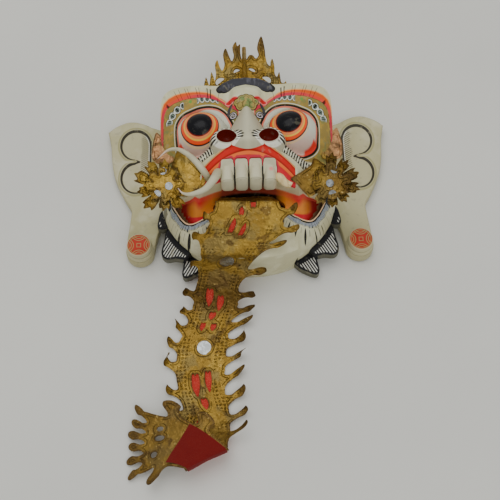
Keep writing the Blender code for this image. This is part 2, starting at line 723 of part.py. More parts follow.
# The tongue: its left and right edge from the throat to the folded end, in carver's units on the face and
# beyond it, then the felt lining, both as rows of a ribbon
TONGUE_ROWS = (
    ((-30, 1, 60), (24, 0, 60)), ((-34, -8, 74), (30, -9, 74)), ((-40, -20, 87), (36, -21, 87)),
    ((-46, -34, 84), (38, -36, 82)), ((-54, -48, 70), (28, -50, 70)), ((-57, -63, 50), (4, -66, 50)),
    ((-62, -80, 27), (-13, -86, 27)), ((-68, -99, 8), (-15, -103, 8)), ((-74, -118, 2.5), (-24, -122, 2.5)),
    ((-83, -140, 2.0), (-28, -146, 2.0)), ((-88, -172, 2.0), (-31, -171, 2.0)), ((-85, -200, 2.0), (-32, -199, 2.0)),
    ((-79, -224, 3.0), (-28, -222, 3.0)), ((-79, -252, 9), (-27, -242, 9)), ((-79, -276, 17), (-29, -257, 17)),
    ((-77, -288, 22), (-30, -267, 22)), ((-76, -291, 27), (-29, -270, 27)), ((-79, -289, 32), (-33, -266, 32)),
    ((-97, -279, 27), (-67, -243, 29)), ((-118, -279, 13), (-110, -231, 15)),
)
ROWS_PER_SPAN = 2
LIP_CLEARANCE_Y = 6.0
COLUMNS = 5
LINING_START = 4
LINING_COLUMNS = 2
LINING_MARGIN = 0.06
# Holes cut through the leather, as row and column of the ribbon's cells
TONGUE_HOLES = (
    (4, 3), (5, 3), (6, 1), (7, 1), (7, 3), (8, 3), (12, 1), (13, 1), (13, 3), (14, 3), (16, 1), (17, 3), (21, 1),
    (22, 1), (22, 3), (23, 3), (24, 1), (26, 2),
)
# Flames along each edge: the row that each starts at, and its length and lean as shares of its size
LEFT_FLAMES = (
    (4, 0.6, -0.2), (7, 0.9, 0.3), (10, 1.0, -0.4), (12, 0.8, 0.2), (14, 1.0, 0.5), (16, 1.0, 0.3), (18, 1.1, 0.4),
    (20, 0.9, -0.2), (22, 1.1, -0.5), (24, 0.9, -0.2), (26, 0.5, 0.0), (34, 1.3, 0.5), (36, 1.5, 0.4),
)
RIGHT_FLAMES = (
    (5, 0.9, -0.5), (7, 0.8, 0.4), (9, 1.2, -0.2), (11, 1.3, -0.2), (13, 1.1, -0.1), (15, 1.2, 0.0), (17, 1.3, -0.2),
    (19, 1.3, -0.2), (21, 1.3, -0.3), (23, 0.8, -0.3), (25, 1.2, 0.6), (27, 1.3, 0.2), (33, 1.0, 0.0), (36, 1.6, 0.6),
)
END_FLAMES = ((0, 1.2, -0.2), (2, 1.3, 0.3))
TONGUE_MIRRORS = ((9.6, 0.50), (18.5, 0.53))


def ribbon(low):
    """The tongue's rows of points, in metres, no lower than the given height."""
    count = (len(TONGUE_ROWS) - 1) * ROWS_PER_SPAN + 1
    left = smooth_line([carver(*row[0]) for row in TONGUE_ROWS], count)
    right = smooth_line([carver(*row[1]) for row in TONGUE_ROWS], count)
    rows = []
    for a, b in zip(left, right):
        row = [a.lerp(b, column / COLUMNS) for column in range(COLUMNS + 1)]
        lift = 0.0
        for spot in row:
            x, y = spot.x / SCALE.x, spot.y / SCALE.y
            lip = lower_lip(abs(x))
            if edge_share(x, y) < 1.0 and y < lip + LIP_CLEARANCE_Y:
                over = skin_at(spot.x, min(spot.y, lip * SCALE.y))
                lift = max(lift, over + TONGUE_CLEARANCE - spot.z)
            lift = max(lift, low - spot.z)
        rows.append([spot + Vector((0, 0, lift)) for spot in row])
    return rows


def flame(points, faces, base, heading, size, lean, turned_over):
    """Adds a curling flame on three neighbouring edge points, leaning towards the last of them."""
    start, middle, end = (points[i] for i in base)
    run = end - start
    out = heading.normalized() * TONGUE_FLAME * size
    neck = middle + out * 0.55 + run * lean * 0.5
    first = len(points)
    for spot in (neck - run * 0.16, neck + run * 0.16, middle + out + run * lean * 1.3):
        points.append(Vector((spot.x, spot.y, max(spot.z, LEATHER))))
    a, m, b = base
    added = [(a, m, first), (m, first + 1, first), (m, b, first + 1), (first, first + 1, first + 2)]
    faces.extend(face[::-1] if turned_over else face for face in added)


def tongue():
    """The flame-edged leather tongue, with holes where the mirrors sit."""
    rows = ribbon(FELT + 2 * GAP + LEATHER / 2)
    wide = COLUMNS + 1
    points = [spot for row in rows for spot in row]
    faces = []
    for r in range(len(rows) - 1):
        for c in range(COLUMNS):
            if (r, c) not in TONGUE_HOLES:
                faces.append((r * wide + c, (r + 1) * wide + c, (r + 1) * wide + c + 1, r * wide + c + 1))
    for column, flames in ((0, LEFT_FLAMES), (COLUMNS, RIGHT_FLAMES)):
        inward = 1 if column == 0 else -1
        for r, size, lean in flames:
            base = [(r + k) * wide + column for k in range(3)]
            heading = points[base[1]] - points[base[1] + inward]
            flame(points, faces, base, heading, size, lean, column == 0)
    last = (len(rows) - 1) * wide
    for c, size, lean in END_FLAMES:
        base = [last + c + k for k in range(3)]
        heading = points[base[1]] - points[base[1] - wide]
        flame(points, faces, base, heading, size, lean, True)
    obj = leather("tongue", points, faces, LEATHER, 0.0, gilded_leather())
    for index in range(len(TONGUE_MIRRORS)):
        frame = tongue_frame(index)
        hole = disc(f"mirror_cutter_{index + 1}", frame, TONGUE_MIRROR + GAP, WALL, -WALL / 2, 20, None, CUTTERS)
        boolean(obj, hole, "DIFFERENCE")
    return obj


def tongue_frame(index):
    """The place of a mirror on the tongue, with Z out of the leather."""
    at, share = TONGUE_MIRRORS[index]
    rows = ribbon(FELT + 2 * GAP + LEATHER / 2)
    row = int(at)
    spot = rows[row][0].lerp(rows[row][-1], share).lerp(rows[row + 1][0].lerp(rows[row + 1][-1], share), at - row)
    across = (rows[row][-1] - rows[row][0]).normalized()
    down = (rows[row + 1][COLUMNS // 2] - rows[row][COLUMNS // 2]).normalized()
    normal = down.cross(across).normalized()
    side = across
    up = normal.cross(side)
    turn = Matrix((side, up, normal)).transposed().to_4x4()
    return Matrix.Translation(spot) @ turn


def tongue_lining():
    """The red felt glued under the leather, a little narrower than it."""
    rows = ribbon(FELT + 2 * GAP + LEATHER / 2)[LINING_START:]
    count = len(rows)
    points = []
    for r, row in enumerate(rows):
        down = rows[min(r + 1, count - 1)][COLUMNS // 2] - rows[max(r - 1, 0)][COLUMNS // 2]
        across = row[-1] - row[0]
        normal = down.cross(across).normalized()
        for c in range(LINING_COLUMNS + 1):
            share = LINING_MARGIN + (1 - 2 * LINING_MARGIN) * c / LINING_COLUMNS
            place_in = share * COLUMNS
            k = min(int(place_in), COLUMNS - 1)
            spot = row[k].lerp(row[k + 1], place_in - k)
            points.append(spot - normal * (LEATHER / 2 + GAP + FELT / 2))
    wide = LINING_COLUMNS + 1
    faces = []
    for r in range(count - 1):
        for c in range(LINING_COLUMNS):
            faces.append((r * wide + c, (r + 1) * wide + c, (r + 1) * wide + c + 1, r * wide + c + 1))
    return leather("tongue_lining", points, faces, FELT, 0.0, red_felt())


def tongue_mirror(index):
    """A round mirror set in the leather."""
    return disc(
        f"tongue_mirror_{index + 1}", tongue_frame(index), TONGUE_MIRROR, MIRROR_THICKNESS, -LEATHER / 2 + GAP, 20,
        mirror_glass(),
    )


def sockets():
    """What is cut out of the face for the pieces that are let into it."""
    cut = []
    for name, (line, radius, taper, count) in TUSKS.items():
        cut.append(tusk(f"{name}_socket", line, radius, taper, count, GAP, CUTTERS))
    for side, sign in SIDES.items():
        cut.append(rosette_sheet(f"rosette_{side}_slot", side, SLOT_PLAY, None, CUTTERS))
        cut.append(temple_leaf(f"temple_leaf_{side}_slot", sign, SLOT_PLAY, None, CUTTERS))
    cut.append(crest_sheet("crest_slot", GAP, None, CUTTERS))
    return cut


def centre_mask():
    """Moves the whole mask so that the middle of its underside is the origin."""
    bpy.context.view_layer.update()
    graph = bpy.context.evaluated_depsgraph_get()
    low, high = np.full(3, np.inf), np.full(3, -np.inf)
    for obj in PARTS.objects:
        if obj.type != "MESH":
            continue
        mesh = obj.evaluated_get(graph).to_mesh()
        spots = np.empty(len(mesh.vertices) * 3, np.float32)
        mesh.vertices.foreach_get("co", spots)
        spots = spots.reshape(-1, 3)
        low, high = np.minimum(low, spots.min(axis=0)), np.maximum(high, spots.max(axis=0))
        obj.evaluated_get(graph).to_mesh_clear()
    ROOT.location = (-(low[0] + high[0]) / 2, -(low[1] + high[1]) / 2, -low[2])


def main():
    clear_scene()
    face(sockets())
    for side, sign in SIDES.items():
        ear(side, sign)
        earring(side, sign)
        rosette(side)
        temple_leaf(f"temple_leaf_{side}", sign, 0.0, gilded_leather())
    crest()
    crest_fin()
    for name, (line, radius, taper, count) in TUSKS.items():
        tusk(name, line, radius, taper, count)
    tongue()
    tongue_lining()
    for index in range(len(TONGUE_MIRRORS)):
        tongue_mirror(index)
    centre_mask()


main()
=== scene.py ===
"""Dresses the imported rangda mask: carved and painted face and ears, tusks, leather, felt and mirrors.

Shapes are made in the carver's millimetres, with the middle of the back rim at the nose's line as the
origin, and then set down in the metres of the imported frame.
"""

import logging
import math
from collections.abc import Callable
from dataclasses import dataclass
from enum import Enum

import bpy
import numpy as np
from mathutils import Matrix, Vector

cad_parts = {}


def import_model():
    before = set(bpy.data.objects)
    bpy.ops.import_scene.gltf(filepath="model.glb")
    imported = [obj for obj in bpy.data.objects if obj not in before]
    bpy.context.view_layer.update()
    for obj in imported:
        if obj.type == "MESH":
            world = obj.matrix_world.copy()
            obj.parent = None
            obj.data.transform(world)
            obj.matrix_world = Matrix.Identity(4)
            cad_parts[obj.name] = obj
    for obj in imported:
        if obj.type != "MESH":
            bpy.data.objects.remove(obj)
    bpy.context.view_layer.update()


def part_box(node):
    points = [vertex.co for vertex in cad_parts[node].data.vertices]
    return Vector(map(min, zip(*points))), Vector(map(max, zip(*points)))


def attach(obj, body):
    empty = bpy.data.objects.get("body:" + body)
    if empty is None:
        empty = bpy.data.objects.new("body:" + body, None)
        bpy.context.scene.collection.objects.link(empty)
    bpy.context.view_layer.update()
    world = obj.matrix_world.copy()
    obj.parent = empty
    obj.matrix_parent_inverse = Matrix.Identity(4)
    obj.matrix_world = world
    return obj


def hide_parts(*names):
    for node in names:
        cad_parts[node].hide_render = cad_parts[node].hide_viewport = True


LOG = logging.getLogger("mask")
FAR_BELOW = -40.0
OUTSIDE = -9.0
FLAT_SHIFT = 500.0
SQUARE_SLIP = 0.012
PHOTO_LIGHT = 0.76
BRIGHTEST_PAINT = 0.92
SMOOTH_ANGLE = math.radians(38)


class Side(Enum):
    """The viewer's left or right of the mask."""

    LEFT = -1
    RIGHT = 1

    @property
    def word(self) -> str:
        """The side in lower case, as the nodes spell it."""
        return self.name.lower()


class Slot(Enum):
    """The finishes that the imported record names."""

    PAINT = "painted_wood"
    TUSK = "tusk_paint"
    LEATHER = "gilded_leather"
    FELT = "red_felt"
    MIRROR = "mirror_glass"


class Work(Enum):
    """What one solid does to another."""

    CUT = "DIFFERENCE"
    JOIN = "UNION"
    KEEP = "INTERSECT"


@dataclass(frozen=True)
class Bench:
    """The carver's bench: millimetres on it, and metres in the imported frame."""

    ahead: float
    crown: float = 150.0

    @classmethod
    def measured(cls) -> "Bench":
        """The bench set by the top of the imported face."""
        return cls(ahead=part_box("face")[1].y * 1000 - cls.crown)

    def to_frame(self, spots: np.ndarray) -> np.ndarray:
        """Bench millimetres to frame metres.

        Args:
            spots: Rows of x, y and z on the bench.

        Returns:
            The same spots in the frame.
        """
        return (spots + np.array((0.0, self.ahead, 0.0))) / 1000

    def spot(self, x: float, y: float, z: float) -> Vector:
        """One spot of the bench in the frame."""
        return Vector((x, y + self.ahead, z)) / 1000


def put_down() -> None:
    """Leaves edit mode and lets go of everything."""
    if bpy.context.mode != "OBJECT":
        bpy.ops.object.mode_set(mode="OBJECT")
    bpy.ops.object.select_all(action="DESELECT")


def edit_all() -> None:
    """Enters edit mode with the whole mesh selected."""
    bpy.ops.object.mode_set(mode="EDIT")
    bpy.ops.mesh.select_all(action="SELECT")


def take(obj: bpy.types.Object, *others: bpy.types.Object) -> None:
    """Takes hold of these objects alone, with the first as the active one.

    Args:
        obj: The active one.
        others: The rest.
    """
    put_down()
    for each in (obj, *others):
        each.select_set(True)
    bpy.context.view_layer.objects.active = obj


def points_of(obj: bpy.types.Object) -> np.ndarray:
    """The places of a mesh's corners, as rows.

    Args:
        obj: The mesh's object.

    Returns:
        One row of x, y and z for each corner.
    """
    flat = np.empty(len(obj.data.vertices) * 3, np.float32)
    obj.data.vertices.foreach_get("co", flat)
    return flat.reshape(-1, 3).astype(np.float64)


def move_points(obj: bpy.types.Object, spots: np.ndarray) -> None:
    """Puts a mesh's corners at these places."""
    obj.data.vertices.foreach_set("co", spots.astype(np.float32).ravel())
    obj.data.update()


def stand(obj: bpy.types.Object, frame: Matrix, *places: np.ndarray) -> None:
    """Puts a mesh's corners at x, y and z counted in a frame of their own."""
    local = np.column_stack((*places, np.ones(len(places[0]))))
    move_points(obj, (local @ np.array(frame).T)[:, :3])


def note(obj: bpy.types.Object, name: str, values: np.ndarray) -> None:
    """Writes one number for each corner of a mesh, for its paint to read."""
    layer = obj.data.attributes.new(name, "FLOAT", "POINT")
    layer.data.foreach_set("value", values.astype(np.float32).ravel())


def weld(obj: bpy.types.Object, within: float = 1e-4) -> None:
    """Joins corners that meet and turns the faces outwards.

    Args:
        obj: The mesh's object.
        within: How far apart such corners may be.
    """
    take(obj)
    edit_all()
    bpy.ops.mesh.remove_doubles(threshold=within)
    bpy.ops.mesh.normals_make_consistent(inside=False)
    put_down()


def work(obj: bpy.types.Object, tool: bpy.types.Object, how: Work) -> None:
    """Cuts, joins or keeps what is common with another solid, which is used up.

    Args:
        obj: The solid that is worked.
        tool: The other solid.
        how: What the tool does to it.
    """
    for solver in ("MANIFOLD", "EXACT"):
        before = len(obj.data.vertices)
        modifier = obj.modifiers.new("work", "BOOLEAN")
        modifier.object = tool
        modifier.operation = how.value
        modifier.solver = solver
        take(obj)
        bpy.ops.object.modifier_apply(modifier=modifier.name)
        if len(obj.data.vertices) != before:
            break
        LOG.warning("%s: %s left %s as it was", solver, tool.name, obj.name)
    bpy.data.objects.remove(tool, do_unlink=True)


def curve_spot(a: Vector, b: Vector, c: Vector, d: Vector, t: float) -> Vector:
    """The spot a share t of the way from b to c, on a smooth curve that also heeds a and d."""
    spot = 2 * b + (c - a) * t + (2 * a - 5 * b + 4 * c - d) * t**2 + (3 * b - a - 3 * c + d) * t**3
    return 0.5 * spot


def smooth_line(points: list, count: int) -> list[Vector]:
    """Evenly numbered points on a smooth curve through the given ones.

    Args:
        points: The points that the curve goes through.
        count: How many points to return.

    Returns:
        The points in order.
    """
    points = [Vector(p) for p in points]
    ends = [2 * points[0] - points[1], *points, 2 * points[-1] - points[-2]]
    line = []
    for i in range(count):
        at = i * (len(points) - 1) / (count - 1)
        k = min(int(at), len(points) - 2)
        line.append(curve_spot(*ends[k : k + 4], at - k))
    return line


def smooth_loop(points: list, per_span: int = 4) -> list[tuple[float, float]]:
    """A closed smooth outline through the given points.

    Args:
        points: The outline's own points in order.
        per_span: How many points replace each of them.

    Returns:
        The outline's finer points.
    """
    count = len(points)
    found = []
    for k in range(count):
        around = [np.array(points[(k + step) % count], float) for step in (-1, 0, 1, 2)]
        found.extend(tuple(curve_spot(*around, i / per_span)) for i in range(per_span))
    return found


def oval(x: float, y: float, wide: float, tall: float, count: int) -> list[tuple[float, float]]:
    """An ellipse's outline round x and y, with its half width and half height."""
    turns = [2 * math.pi * i / count for i in range(count)]
    return [(x + wide * math.cos(turn), y + tall * math.sin(turn)) for turn in turns]


def off_line(x: np.ndarray, y: np.ndarray, points: list) -> tuple[np.ndarray, np.ndarray]:
    """How far spots are from a bent line, and how far along the line the nearest point is.

    Args:
        x: The spots' x.
        y: The spots' y.
        points: The line's points.

    Returns:
        The distances, and the runs along the line, in the points' own unit.
    """
    best = np.full(np.shape(x), 1e9)
    along = np.zeros(np.shape(x))
    run = 0.0
    for a, b in zip(points, points[1:]):
        span = math.dist(a[:2], b[:2])
        if span < 1e-9:
            continue
        t = np.clip(((x - a[0]) * (b[0] - a[0]) + (y - a[1]) * (b[1] - a[1])) / span**2, 0, 1)
        off = np.hypot(x - a[0] - t * (b[0] - a[0]), y - a[1] - t * (b[1] - a[1]))
        along = np.where(off < best, run + t * span, along)
        best = np.minimum(off, best)
        run += span
    return best, along


def within_loop(x: np.ndarray, y: np.ndarray, loop: list) -> np.ndarray:
    """How deep spots lie inside a closed outline, less than nothing outside it.

    Args:
        x: The spots' x.
        y: The spots' y.
        loop: The outline's points.

    Returns:
        The depths.
    """
    closed = [*loop, loop[0]]
    off, _ = off_line(x, y, closed)
    inside = np.zeros(np.shape(x), bool)
    for a, b in zip(closed, closed[1:]):
        if a[1] != b[1]:
            crosses = (a[1] > y) != (b[1] > y)
            inside ^= crosses & (x < (b[0] - a[0]) * (y - a[1]) / (b[1] - a[1]) + a[0])
    return np.where(inside, off, -off)


def ramp(value: np.ndarray, low: float, high: float) -> np.ndarray:
    """0 below low, 1 above high, smooth between."""
    share = np.clip((value - low) / (high - low), 0.0, 1.0)
    return share * share * (3.0 - 2.0 * share)


def blend_up(first: np.ndarray, second: np.ndarray, soft: float) -> np.ndarray:
    """The higher of two heights, with the crease between them rounded."""
    return 0.5 * (first + second + np.sqrt((first - second) ** 2 + soft * soft))


def dome(x: np.ndarray, y: np.ndarray, middle: tuple, half: tuple) -> np.ndarray:
    """1 at the middle of an ellipse, 0 at its edge, less outside."""
    return 1.0 - ((x - middle[0]) / half[0]) ** 2 - ((y - middle[1]) / half[1]) ** 2


def sawn_block(name: str, loops: list, low: float, high: float) -> bpy.types.Object:
    """A block sawn to closed outlines, the inner ones as holes.

    Args:
        name: The block's name.
        loops: Lists of x and y.
        low: Its underside's height.
        high: Its top's height.

    Returns:
        The block, as a closed mesh.
    """
    curve = bpy.data.curves.new(name, "CURVE")
    curve.dimensions = "2D"
    curve.fill_mode = "BOTH"
    curve.extrude = (high - low) / 2
    for loop in loops:
        spline = curve.splines.new("POLY")
        spline.points.add(len(loop) - 1)
        for point, (x, y) in zip(spline.points, loop):
            point.co = (x, y, 0, 1)
        spline.use_cyclic_u = True
    obj = bpy.data.objects.new(name, curve)
    bpy.context.scene.collection.objects.link(obj)
    obj.location.z = (high + low) / 2
    take(obj)
    bpy.ops.object.convert(target="MESH")
    bpy.ops.object.transform_apply(location=True, rotation=False, scale=False)
    weld(obj)
    return obj


def sheet_stock(name: str, box: tuple, spacing: float, low: float, thick: float) -> bpy.types.Object:
    """A flat sheet of close squares, thick enough to saw and bend.

    Args:
        name: The sheet's name.
        box: Its lowest x and y and its highest x and y.
        spacing: How wide its squares are.
        low: Its underside's height.
        thick: Its thickness.

    Returns:
        The closed sheet.
    """
    wide, tall = box[2] - box[0], box[3] - box[1]
    put_down()
    bpy.ops.mesh.primitive_grid_add(
        x_subdivisions=max(int(wide / spacing), 1), y_subdivisions=max(int(tall / spacing), 1), size=1
    )
    obj = bpy.context.object
    obj.name = name
    edit_all()
    bpy.ops.transform.resize(value=(wide, tall, 1))
    bpy.ops.transform.translate(value=((box[0] + box[2]) / 2, (box[1] + box[3]) / 2, low))
    bpy.ops.mesh.extrude_region_move(TRANSFORM_OT_translate={"value": (0, 0, thick)})
    bpy.ops.mesh.select_all(action="SELECT")
    bpy.ops.mesh.normals_make_consistent(inside=False)
    put_down()
    spots = points_of(obj)
    spots[:, 2] += np.random.default_rng(5).uniform(-SQUARE_SLIP, SQUARE_SLIP, len(spots))
    move_points(obj, spots)
    return obj


def cut_sheet(name: str, loops: list, spacing: float, low: float, thick: float) -> bpy.types.Object:
    """A close-meshed sheet cut to an outline with holes.

    Args:
        name: The sheet's name.
        loops: The outline, then its holes.
        spacing: How wide its squares are.
        low: Its underside's height.
        thick: Its thickness.

    Returns:
        The cut sheet, still flat.
    """
    around = np.array(loops[0])
    box = (*(around.min(axis=0) - 1.7), *(around.max(axis=0) + 1.3))
    obj = sheet_stock(name, box, spacing, low, thick)
    work(obj, sawn_block(f"{name}_saw", loops, low - 1, low + thick + 1), Work.KEEP)
    return obj


def carved_board(
    name: str, loop: list, spacing: float, low: float, high: float, soft: float
) -> bpy.types.Object:
    """A board sawn to an outline, with its upper edge rounded.

    Args:
        name: The board's name.
        loop: Its outline.
        spacing: How close its mesh is.
        low: Its underside's height.
        high: Its face's height.
        soft: How far the rounding reaches in from the edge.

    Returns:
        The board.
    """
    obj = cut_sheet(name, [loop], spacing, low, high - low)
    spots = points_of(obj)
    depth = np.clip(within_loop(spots[:, 0], spots[:, 1], loop) / soft, 0, 1)
    fall = soft * 0.7 * (1 - np.sqrt(1 - (1 - depth) ** 2))
    spots[:, 2] -= np.where(spots[:, 2] > (low + high) / 2, fall, 0)
    move_points(obj, spots)
    return obj


def settle(
    obj: bpy.types.Object, name: str, bench: Bench, paint: bpy.types.Material, slot: Slot, *nodes: str
) -> bpy.types.Object:
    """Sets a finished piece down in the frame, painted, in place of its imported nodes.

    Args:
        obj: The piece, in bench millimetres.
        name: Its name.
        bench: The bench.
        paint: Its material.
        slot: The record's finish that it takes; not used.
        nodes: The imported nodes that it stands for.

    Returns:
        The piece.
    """
    obj.name = name
    obj.data.name = name
    move_points(obj, bench.to_frame(points_of(obj)))
    obj.data.materials.clear()
    obj.data.materials.append(paint)
    take(obj)
    bpy.ops.object.shade_smooth_by_angle(angle=SMOOTH_ANGLE)
    put_down()
    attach(obj, "root")
    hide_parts(*nodes)
    LOG.info("%s: %d faces", name, len(obj.data.polygons))
    return obj


def seen(code: str) -> tuple[float, float, float, float]:
    """The paint that looks like a colour of the photograph under its soft light.

    Args:
        code: The colour seen, as six hexadecimal digits.

    Returns:
        The paint.
    """
    parts = [int(code[i : i + 2], 16) / 255 for i in (0, 2, 4)]
    linear = [part / 12.92 if part < 0.04045 else ((part + 0.055) / 1.055) ** 2.4 for part in parts]
    return (*(min(part / PHOTO_LIGHT, BRIGHTEST_PAINT) for part in linear), 1.0)


class Shade:
    """A number that a paint recipe works out at each spot, with plain arithmetic on it."""

    def __init__(self, tree: bpy.types.NodeTree, socket: bpy.types.NodeSocket) -> None:
        """Keeps the node tree and the output that holds the number."""
        self.tree = tree
        self.socket = socket

    def math(self, operation: str, *others: "Shade | float", clamp: bool = False) -> "Shade":
        """The result of one Math node.

        Args:
            operation: The node's operation.
            others: Its second and third value.
            clamp: Whether to keep the result between 0 and 1.

        Returns:
            The new number.
        """
        node = self.tree.nodes.new("ShaderNodeMath")
        node.operation = operation
        node.use_clamp = clamp
        self.tree.links.new(self.socket, node.inputs[0])
        for place, other in enumerate(others, 1):
            if isinstance(other, Shade):
                self.tree.links.new(other.socket, node.inputs[place])
            else:
                node.inputs[place].default_value = other
        return Shade(self.tree, node.outputs[0])

    def __add__(self, other: "Shade | float") -> "Shade":
        """The sum."""
        return self.math("ADD", other)

    def __sub__(self, other: "Shade | float") -> "Shade":
        """The difference."""
        return self.math("SUBTRACT", other)

    def __mul__(self, other: "Shade | float") -> "Shade":
        """The product."""
        return self.math("MULTIPLY", other)

    def __truediv__(self, other: "Shade | float") -> "Shade":
        """The quotient."""
        return self.math("DIVIDE", other)

    def size(self) -> "Shade":
        """The number without its sign."""
        return self.math("ABSOLUTE")

    def least(self, other: "Shade | float") -> "Shade":
        """The lower of two."""
        return self.math("MINIMUM", other)

    def most(self, other: "Shade | float") -> "Shade":
        """The higher of two."""
        return self.math("MAXIMUM", other)

    def far(self, other: "Shade") -> "Shade":
        """The length of the two numbers taken as the sides of a right angle."""
        return (self * self + other * other).math("SQRT")

    def saw(self, period: float, start: float = 0.0) -> "Shade":
        """The distance past the last of evenly spaced marks."""
        return ((self - start) / period).math("FRACT") * period

    def under(self, limit: float, soft: float = 0.3) -> "Shade":
        """1 below a limit and 0 above it."""
        return self.math("MULTIPLY_ADD", -1 / soft, limit / soft + 0.5, clamp=True)

    def over(self, limit: float, soft: float = 0.3) -> "Shade":
        """1 above a limit and 0 below it."""
        return self.math("MULTIPLY_ADD", 1 / soft, 0.5 - limit / soft, clamp=True)

    def between(self, low: float, high: float, soft: float = 0.3) -> "Shade":
        """1 between two limits."""
        return self.over(low, soft).least(self.under(high, soft))

    def flip(self) -> "Shade":
        """1 less the number."""
        return self.math("MULTIPLY_ADD", -1.0, 1.0)


class Recipe:
    """A paint mixed in layers on one Principled shader."""

    def __init__(self, name: str, ground: tuple | str) -> None:
        """Starts with a ground colour, under the first layer.

        Args:
            name: The material's name.
            ground: The ground, as a paint or as the photograph's colour.
        """
        self.material = bpy.data.materials.new(name)
        self.material.use_nodes = True
        self.tree = self.material.node_tree
        self.shader = self.tree.nodes["Principled BSDF"]
        self.place = self.tree.nodes.new("ShaderNodeTexCoord").outputs["Object"]
        self.ground = seen(ground) if isinstance(ground, str) else ground
        self.colour: bpy.types.NodeSocket | None = None

    def field(self, name: str) -> Shade:
        """A number noted on the mesh.

        Args:
            name: The note's name.

        Returns:
            The number.
        """
        node = self.tree.nodes.new("ShaderNodeAttribute")
        node.attribute_name = name
        return Shade(self.tree, node.outputs["Fac"])

    def axes(self, bench: Bench) -> tuple[Shade, Shade, Shade]:
        """The spot's x, y and z on the bench, in millimetres.

        Args:
            bench: The bench.

        Returns:
            The three numbers.
        """
        node = self.tree.nodes.new("ShaderNodeSeparateXYZ")
        self.tree.links.new(self.place, node.inputs[0])
        x, y, z = (Shade(self.tree, output) * 1000.0 for output in node.outputs)
        return x, y - bench.ahead, z

    def noise(self, scale: float, detail: float = 3.0, stretch: tuple = (1, 1, 1)) -> Shade:
        """Soft noise about one half, with its scale in waves for each metre.

        Args:
            scale: The waves for each metre.
            detail: How many finer waves lie on them.
            stretch: How much denser they are along each axis.

        Returns:
            The noise, from 0 to 1.
        """
        mapping = self.tree.nodes.new("ShaderNodeMapping")
        mapping.inputs["Scale"].default_value = stretch
        self.tree.links.new(self.place, mapping.inputs[0])
        node = self.tree.nodes.new("ShaderNodeTexNoise")
        node.inputs["Scale"].default_value = scale
        node.inputs["Detail"].default_value = detail
        self.tree.links.new(mapping.outputs[0], node.inputs["Vector"])
        return Shade(self.tree, node.outputs["Fac"])

    def lay(self, colour: tuple | str, where: Shade) -> None:
        """Lays a colour over what is there.

        Args:
            colour: The paint, or the photograph's colour that it should look like.
            where: How much of it each spot takes, from 0 to 1.
        """
        node = self.tree.nodes.new("ShaderNodeMix")
        node.data_type = "RGBA"
        node.clamp_factor = True
        self.tree.links.new(where.socket, node.inputs["Factor"])
        if self.colour is None:
            node.inputs["A"].default_value = self.ground
        else:
            self.tree.links.new(self.colour, node.inputs["A"])
        node.inputs["B"].default_value = seen(colour) if isinstance(colour, str) else colour
        self.colour = node.outputs["Result"]

    def relief(self, height: Shade, depth: float) -> None:
        """Raises the surface by a height's own pattern, this many metres deep.

        Args:
            height: The pattern.
            depth: How deep it is, in metres.
        """
        node = self.tree.nodes.new("ShaderNodeBump")
        node.inputs["Strength"].default_value = 1.0
        node.inputs["Distance"].default_value = depth
        self.tree.links.new(height.socket, node.inputs["Height"])
        self.tree.links.new(node.outputs[0], self.shader.inputs["Normal"])

    def done(
        self, roughness: "Shade | float", metallic: "Shade | float" = 0.0, gleam: float = 0.2
    ) -> bpy.types.Material:
        """Joins the layers to the shader.

        Args:
            roughness: The sheen, from 0 for glass to 1 for chalk.
            metallic: How much it mirrors as metal.
            gleam: How strongly its surface throws light back.

        Returns:
            The material.
        """
        self.tree.links.new(self.colour, self.shader.inputs["Base Color"])
        self.shader.inputs["Specular IOR Level"].default_value = gleam
        for name, value in (("Roughness", roughness), ("Metallic", metallic)):
            if isinstance(value, Shade):
                self.tree.links.new(value.socket, self.shader.inputs[name])
            else:
                self.shader.inputs[name].default_value = value
        return self.material


@dataclass(frozen=True)
class Drawing:
    """The painter's lines on one half of the face, in bench millimetres out from the middle."""

    opening: tuple = (
        (16.5, 78), (16, 86), (18, 93), (22.4, 102.5), (30, 107.8), (38.2, 109.4), (46, 109.2), (55, 107.6),
        (63.3, 105), (71.5, 102), (77, 97.5), (80.3, 91), (80.8, 82), (80.5, 73), (80, 65), (79, 58),
        (73, 50),
        (62, 44), (50, 42), (38, 44), (26, 54), (19, 66),
    )
    rose: tuple = (
        (10, 104), (17, 109), (24, 113.5), (30, 117), (39.5, 119.5), (47.2, 120.5), (55, 120.7), (66.5, 120),
        (75, 118.6), (83, 116.8), (89, 114), (92.7, 110.4), (95, 105), (96, 98), (96.5, 88), (97, 75),
        (97, 40),
        (10, 40),
    )
    ember: tuple = (
        (8, 108), (16, 113), (24, 117.5), (30.5, 120.8), (37.5, 125.3), (45.8, 127.7), (55.1, 128.6),
        (64, 128.7),
        (73, 128.5), (82, 127.5), (90, 124.5), (95.7, 119.5), (98.5, 112), (100.5, 100), (101, 90), (101, 75),
        (101, 40), (8, 40),
    )
    ornament: tuple = ((0, 110, 5.6), (7, 109.6, 4.6), (10.6, 112.8, 3.2), (5, 115, 4.6), (0, 116, 4.6))
    crescent: tuple = ((9, 118), (14, 120), (20, 119), (24, 115), (20, 113), (14, 114.5), (10, 114.5))
    pupils: tuple = ((-53, 74.5), (46.5, 76))
    curl: tuple = (15.8, 99.0)
    strand: tuple = ((17, 112), (20, 107), (20.5, 102))
    tufts: tuple = (
        ((90, 0), (96, 13), (103, 9), (106, -2), (106.5, -10), (103, -13), (97, -12.5), (90, -8)),
        (
            (86, -6), (96, -13), (99, -26), (102, -40), (100.5, -47), (95, -50.5), (85, -49.5), (74, -51),
            (68, -45), (64, -38), (78, -26),
        ),
        (
            (63, -38), (75, -47), (78, -57), (79, -65), (76, -69.5), (70, -68.5), (61, -64), (55, -60),
            (50, -53),
            (54, -44),
        ),
    )
    tuft_feet: tuple = (17.0, 15.0, 4.0)


